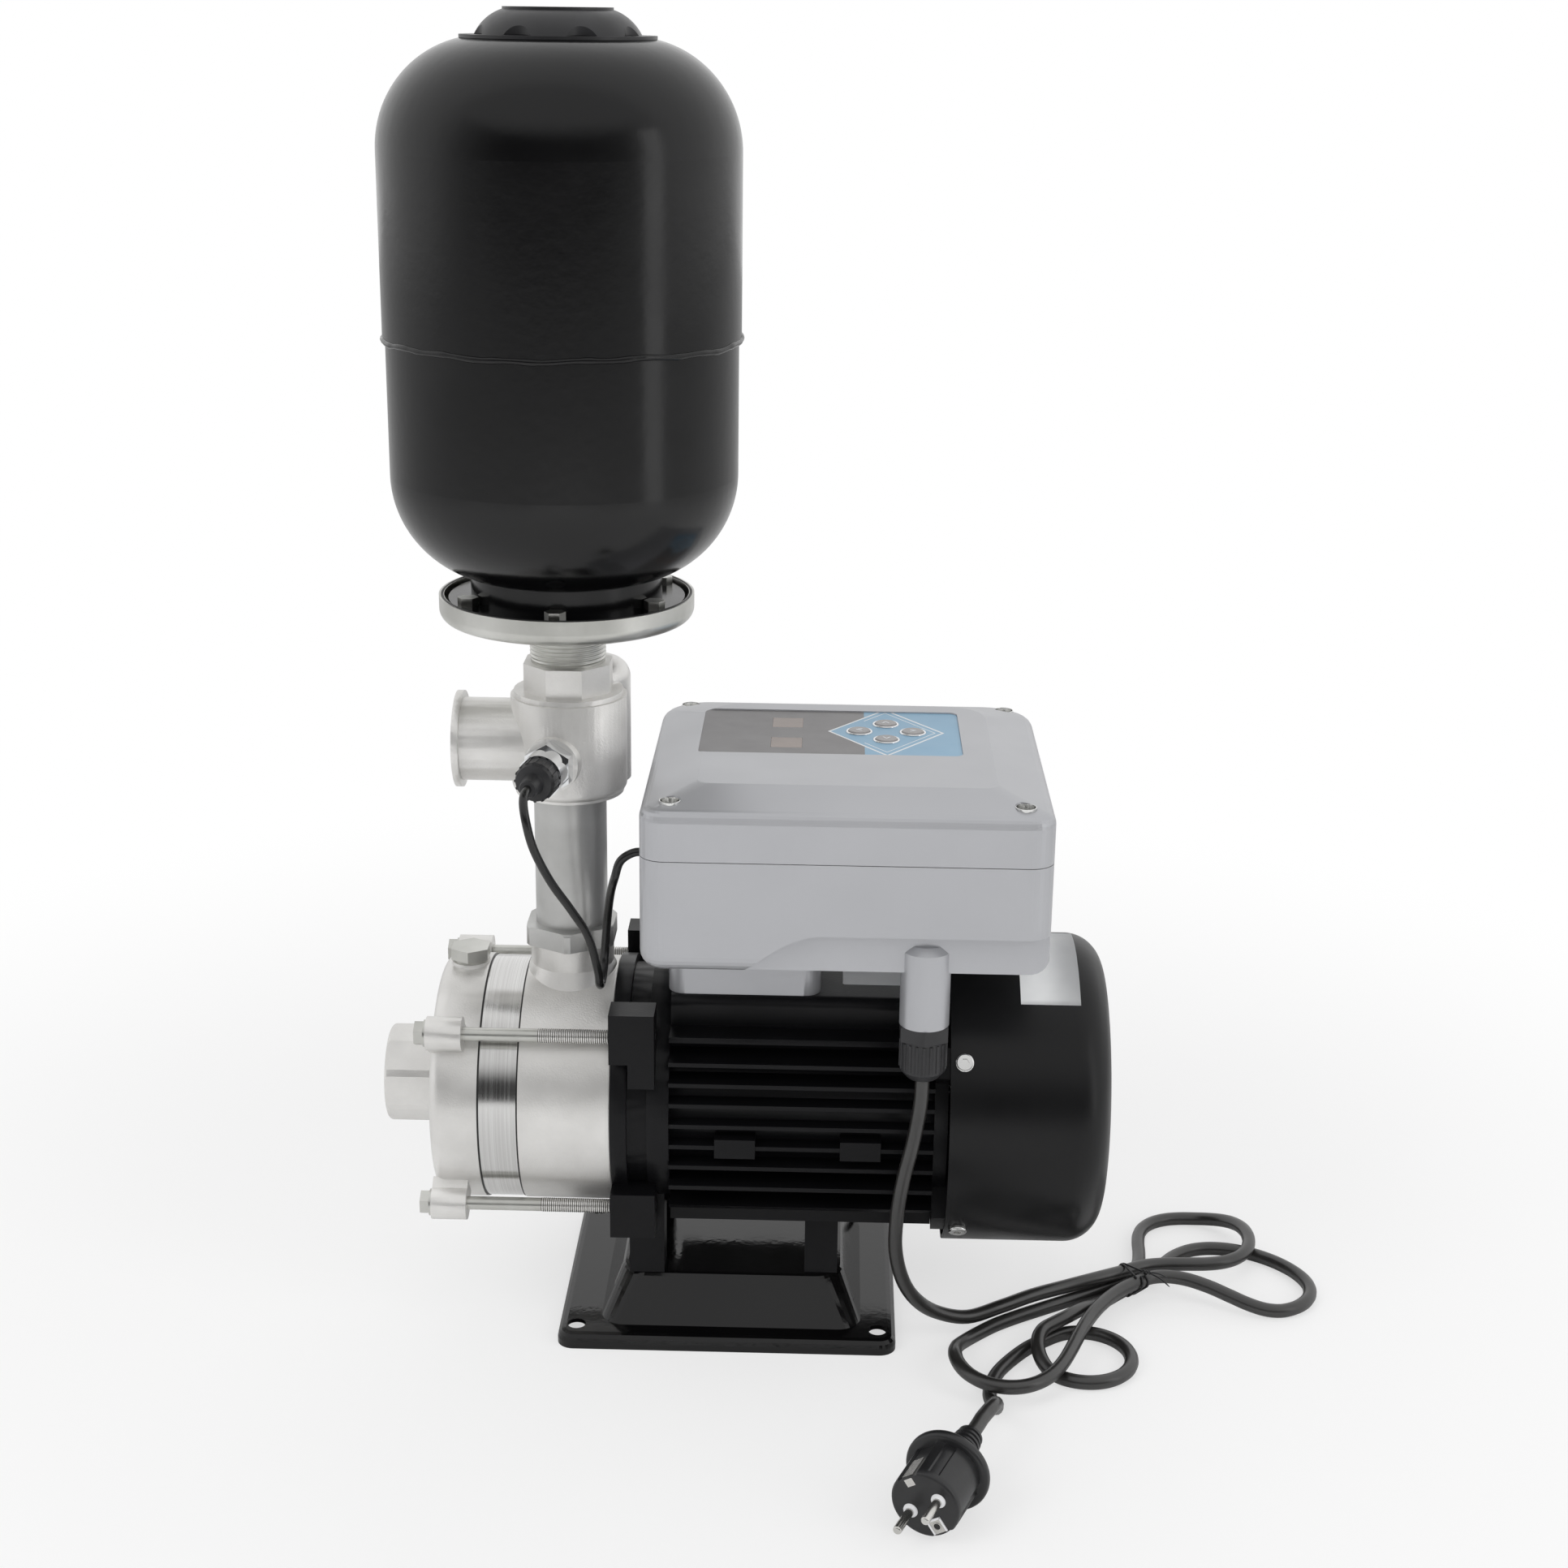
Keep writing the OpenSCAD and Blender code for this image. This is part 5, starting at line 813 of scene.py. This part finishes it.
# ---------------------------------------------------------------- threads, weld bead and trim
ROD_R, ROD_THREAD = 4.01, (-112, -64)
RODS = [(side * 65, AXIS_Z + up * 55) for side in (-1, 1) for up in (-1, 1)]
NIPPLE_R, NIPPLE_PITCH, NIPPLE_THREAD = 21.52, 2.31, (405.5, 430)
SEAM_R, SEAM_Z = 99.9, 592
tank_turn = move(TANK_X, 0, 0)
gland_turn = move(GLAND_X, GLAND_Y, 0)


def along_x(y, z):
    return move(0, y, z) @ spin("Y", 90)


def weld_bead():
    """An uneven bead round the tank's seam."""
    steps, sides = 220, 10
    verts = []
    for i in range(steps):
        a = 2 * pi * i / steps
        lump = 0.35 * sin(37 * a) + 0.3 * sin(23 * a + 1.3) + 0.25 * sin(61 * a + 0.4)
        centre = SEAM_R + 0.15 * sin(9 * a)
        height = SEAM_Z + 0.5 * sin(5 * a + 0.7) + 0.35 * sin(17 * a)
        size = 1.35 + 0.25 * lump
        for k in range(sides):
            b = 2 * pi * k / sides
            r = centre + size * cos(b)
            verts.append(mm((TANK_X + r * cos(a), r * sin(a), height + 1.25 * size * sin(b))))
    return verts, grid_faces(steps, sides, True)


rod_threads = merge([thread(ROD_R, 0.3, ROD_PITCH, *ROD_THREAD, along_x(y, z)) for y, z in RODS])
nipple_thread = thread(NIPPLE_R, 0.75, NIPPLE_PITCH, *NIPPLE_THREAD, tank_turn, 64, 8)
gland_ribs = merge(ribs_round(gland_turn, 20, (12.6, -0.9, 195.5), (13.75, 0.9, 212), 0.35))
piece("rod_threads", *rod_threads, "thread", slot="zinc")
piece("nipple_thread", *nipple_thread, "zinc", slot="zinc")
piece("seam_bead", *weld_bead(), "tank", slot="tank_paint")
piece("dish_lip", *ring(71.6, 0.9, 445.6, tank_turn, 96, 10), "rubber", slot="rubber")
piece("gland_ribs", *gland_ribs, "nylon", slot="gland_plastic", smooth=False)

# ---------------------------------------------------------------- keys, lid and labels
PANEL_TOP = 356.6
# Each key's x, y and the heading of its arrow
KEYS = {"up": (89, 42.5, 0), "down": (89, 10.5, 180), "left": (73, 26.5, 90),
        "right": (105, 26.5, 270)}


def key_rings():
    """Bright rings on the film round the keys."""
    return merge([ring(7.3, 0.75, PANEL_TOP + 0.1, move(x, y, 0), 40, 10)
                  for x, y, _ in KEYS.values()])


def arrow(x, y, heading):
    """A plain arrow head, raised on its key."""
    turn = move(x, y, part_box("button_up")[1][2] / MM) @ spin("Z", heading)
    outline = [(0, 2.2), (-2.6, -1.5), (-1.6, -1.9), (0, 0.4), (1.6, -1.9), (2.6, -1.5)]
    verts = [turn @ mm((px, py, z)) for z in (-0.05, 0.12) for px, py in outline]
    n = len(outline)
    faces = [(k, (k + 1) % n, n + (k + 1) % n, n + k) for k in range(n)]
    faces += [(0, 1, 2, 3)[::-1], (0, 3, 4, 5)[::-1], (n, n + 1, n + 2, n + 3),
              (n, n + 3, n + 4, n + 5)]
    return verts, faces


piece("key_rings", *key_rings(), "chrome", slot="bright_screws")
for key, (x, y, heading) in KEYS.items():
    piece("arrow_" + key, *arrow(x, y, heading), "mark", body=key + "_button", slot="button",
          smooth=False)

# The lid screws' head radius, and the wells' rims above the heads
HEAD_R = 4.6
FRONT_RIM, BACK_RIM = 23.2, 21.6


def screw_wells():
    """Bright sleeves in the four wells of the lid, from the screw heads to the lid's slope."""
    low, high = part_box("lid_screws")
    top = high[2] / MM
    parts = []
    for x in (low[0] / MM + HEAD_R, high[0] / MM - HEAD_R):
        for y, rim in ((low[1] / MM + HEAD_R, FRONT_RIM), (high[1] / MM - HEAD_R, BACK_RIM)):
            rim += top
            profile = [(5.0, top + 0.1), (5.95, top + 0.1), (5.95, rim), (5.45, rim + 0.1),
                       (5.3, rim - 0.6)]
            parts.append(lathe(profile, move(x, y, 0), 32, True))
    return merge(parts)


piece("screw_wells", *screw_wells(), "bright", slot="bright_screws", sharp=40)

# The bare label on the fan cover: the cover's radius, the label's x limits, and its first angle
# and span in degrees up from the front
COVER_R = 94.15
LABEL_X, LABEL_A, LABEL_SPAN = (170, 205), 54.5, 49


def cover_label():
    """A bare sticker bent round the fan cover."""
    rows, columns = 24, len(LABEL_X)
    verts = []
    for lift in (0.0, 0.12):
        for i in range(rows):
            a = radians(LABEL_A + LABEL_SPAN * i / (rows - 1))
            for x in LABEL_X:
                r = COVER_R + lift
                verts.append(mm((x, -r * cos(a), AXIS_Z + r * sin(a))))
    top = rows * columns
    faces = []
    for i in range(rows - 1):
        a = i * columns
        faces += [(a, a + 1, a + 3, a + 2)[::-1], (top + a, top + a + 1, top + a + 3, top + a + 2)]
        faces += [(a, a + 2, top + a + 2, top + a), (a + 1, top + a + 1, top + a + 3, a + 3)]
    faces += [(0, top, top + 1, 1), (top - 2, top - 1, 2 * top - 1, 2 * top - 2)]
    return verts, faces


piece("cover_label", *cover_label(), "paper", slot="panel_film")
motor_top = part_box("motor_frame")[1][2] / MM
motor_label = box((66, -26, motor_top - 0.02), (160, 22, motor_top + 0.15), move(0, 0, 0), 1)
piece("motor_label", *motor_label, "paper", slot="panel_film", smooth=False)

# ---------------------------------------------------------------- shading of the CAD nodes
SOFT_EDGES = {"motor_bracket": 0.7, "rear_foot": 0.6, "suction_cover": 0.5, "lock_nut": 0.5,
              "priming_plug": 0.4, "controller_pad": 0.8, "cable_gland": 0.4, "manifold": 0.5,
              "motor_frame": 0.35}
SHARP = 35


def soften(name, width, angle=SHARP):
    """Rounds the edges that turn more than the angle, with modifiers, so that they catch the light.

    An angle below SHARP is for a faceted node, whose flat faces are first joined into one.
    """
    obj = nodes[name]
    weld = obj.modifiers.new("weld", "WELD")
    weld.merge_threshold = 0.00001
    if angle < SHARP:
        flatten = obj.modifiers.new("flatten", "DECIMATE")
        flatten.decimate_type = "DISSOLVE"
        flatten.angle_limit = radians(0.5)
    bevel = obj.modifiers.new("bevel", "BEVEL")
    bevel.width = width * MM
    bevel.segments = 2
    bevel.limit_method = "ANGLE"
    bevel.angle_limit = radians(angle)
    bevel.use_clamp_overlap = True
    bevel.harden_normals = True


for node_name, edge_width in SOFT_EDGES.items():
    soften(node_name, edge_width)
soften("controller_lid", 1.2, 12)


# ---------------------------------------------------------------- stage and light
def ramp(tree, value, start, end, low, high):
    """A smooth step from low to high while the value goes from start to end."""
    node = tree.nodes.new("ShaderNodeMapRange")
    node.interpolation_type = "SMOOTHSTEP"
    limits = {"From Min": start, "From Max": end, "To Min": low, "To Max": high}
    for name, number in limits.items():
        node.inputs[name].default_value = number
    tree.links.new(value, node.inputs["Value"])
    return node.outputs["Result"]


def combine(tree, operation, first, second):
    node = tree.nodes.new("ShaderNodeMath")
    node.operation = operation
    tree.links.new(first, node.inputs[0])
    tree.links.new(second, node.inputs[1])
    return node.outputs["Value"]


def blend(tree, factor, first, second):
    node = tree.nodes.new("ShaderNodeMixShader")
    for socket, output in zip(node.inputs, (factor, first, second)):
        tree.links.new(output, socket)
    return node.outputs["Shader"]


def make_floor():
    """A wide plain floor that is white for the camera and keeps the shadow."""
    size = 6.0
    mesh = bpy.data.meshes.new("floor")
    corners = [(-size, -size, 0), (size, -size, 0), (size, size, 0), (-size, size, 0)]
    mesh.from_pydata(corners, [], [(0, 1, 2, 3)])
    floor = bpy.data.objects.new("floor", mesh)
    bpy.context.scene.collection.objects.link(floor)
    material = bpy.data.materials.new("floor")
    material.use_nodes = True
    tree = material.node_tree
    tree.nodes.clear()
    new, link = tree.nodes.new, tree.links.new
    diffuse = new("ShaderNodeBsdfDiffuse")
    diffuse.inputs["Color"].default_value = (0.93, 0.93, 0.93, 1)
    glow = new("ShaderNodeEmission")
    rays = new("ShaderNodeLightPath")
    far = new("ShaderNodeVectorMath")
    far.operation = "LENGTH"
    link(new("ShaderNodeTexCoord").outputs["Object"], far.inputs[0])
    fade = ramp(tree, far.outputs["Value"], 0.35, 1.0, 0.6, 1.0)
    share = combine(tree, "MULTIPLY", rays.outputs["Is Camera Ray"], fade)
    surface = blend(tree, share, diffuse.outputs[0], glow.outputs[0])
    link(surface, new("ShaderNodeOutputMaterial").inputs["Surface"])
    mesh.materials.append(material)


def make_world():
    """White for the camera; in gloss the room is white at the sides and above, darker in front."""
    world = bpy.data.worlds.new("studio")
    bpy.context.scene.world = world
    world.use_nodes = True
    tree = world.node_tree
    tree.nodes.clear()
    new, link = tree.nodes.new, tree.links.new

    def white(strength=1.0):
        node = new("ShaderNodeBackground")
        node.inputs["Color"].default_value = (1, 1, 1, 1)
        node.inputs["Strength"].default_value = strength
        return node

    rays = new("ShaderNodeLightPath")
    split = new("ShaderNodeSeparateXYZ")
    link(new("ShaderNodeTexCoord").outputs["Generated"], split.inputs[0])
    front = ramp(tree, split.outputs["Y"], -0.95, -0.05, 0.05, 0.95)
    above = ramp(tree, split.outputs["Z"], 0.22, 0.6, 0.0, 0.75)
    room = white()
    link(combine(tree, "MAXIMUM", front, above), room.inputs["Strength"])
    gloss = combine(tree, "MAXIMUM", rays.outputs["Is Glossy Ray"],
                    rays.outputs["Is Transmission Ray"])
    inner = blend(tree, gloss, white(0.55).outputs[0], room.outputs[0])
    outer = blend(tree, rays.outputs["Is Camera Ray"], inner, white().outputs[0])
    link(outer, new("ShaderNodeOutputWorld").inputs["Surface"])


def lamp(name, place, target, width, height, power, glossy=False):
    """A soft lamp, places and sizes in metres; only a glossy one shows in reflections."""
    data = bpy.data.lights.new(name, "AREA")
    data.shape = "RECTANGLE"
    data.size, data.size_y = width, height
    data.energy = power
    obj = bpy.data.objects.new(name, data)
    obj.location = place
    obj.rotation_euler = (Vector(target) - Vector(place)).to_track_quat("-Z", "Y").to_euler()
    obj.visible_glossy = glossy
    bpy.context.scene.collection.objects.link(obj)


make_floor()
make_world()
lamp("key_left", (-1.5, -1.3, 1.7), (0, 0, 0.3), 1.1, 1.4, 14)
lamp("fill_right", (1.7, -1.0, 1.2), (0, 0, 0.3), 0.9, 1.4, 7)
lamp("front", (0.2, -2.4, 0.9), (0, 0, 0.3), 1.4, 1.0, 9)
lamp("top", (0.1, 0.3, 2.3), (0, 0, 0.3), 1.6, 1.2, 3)
lamp("back", (0.4, 1.9, 1.2), (0, 0, 0.4), 1.6, 1.2, 6)
lamp("strip_right", (1.45, -0.75, 0.75), (-0.1, 0, 0.6), 0.4, 1.3, 1.6, True)

bpy.context.scene.view_settings.view_transform = "Standard"
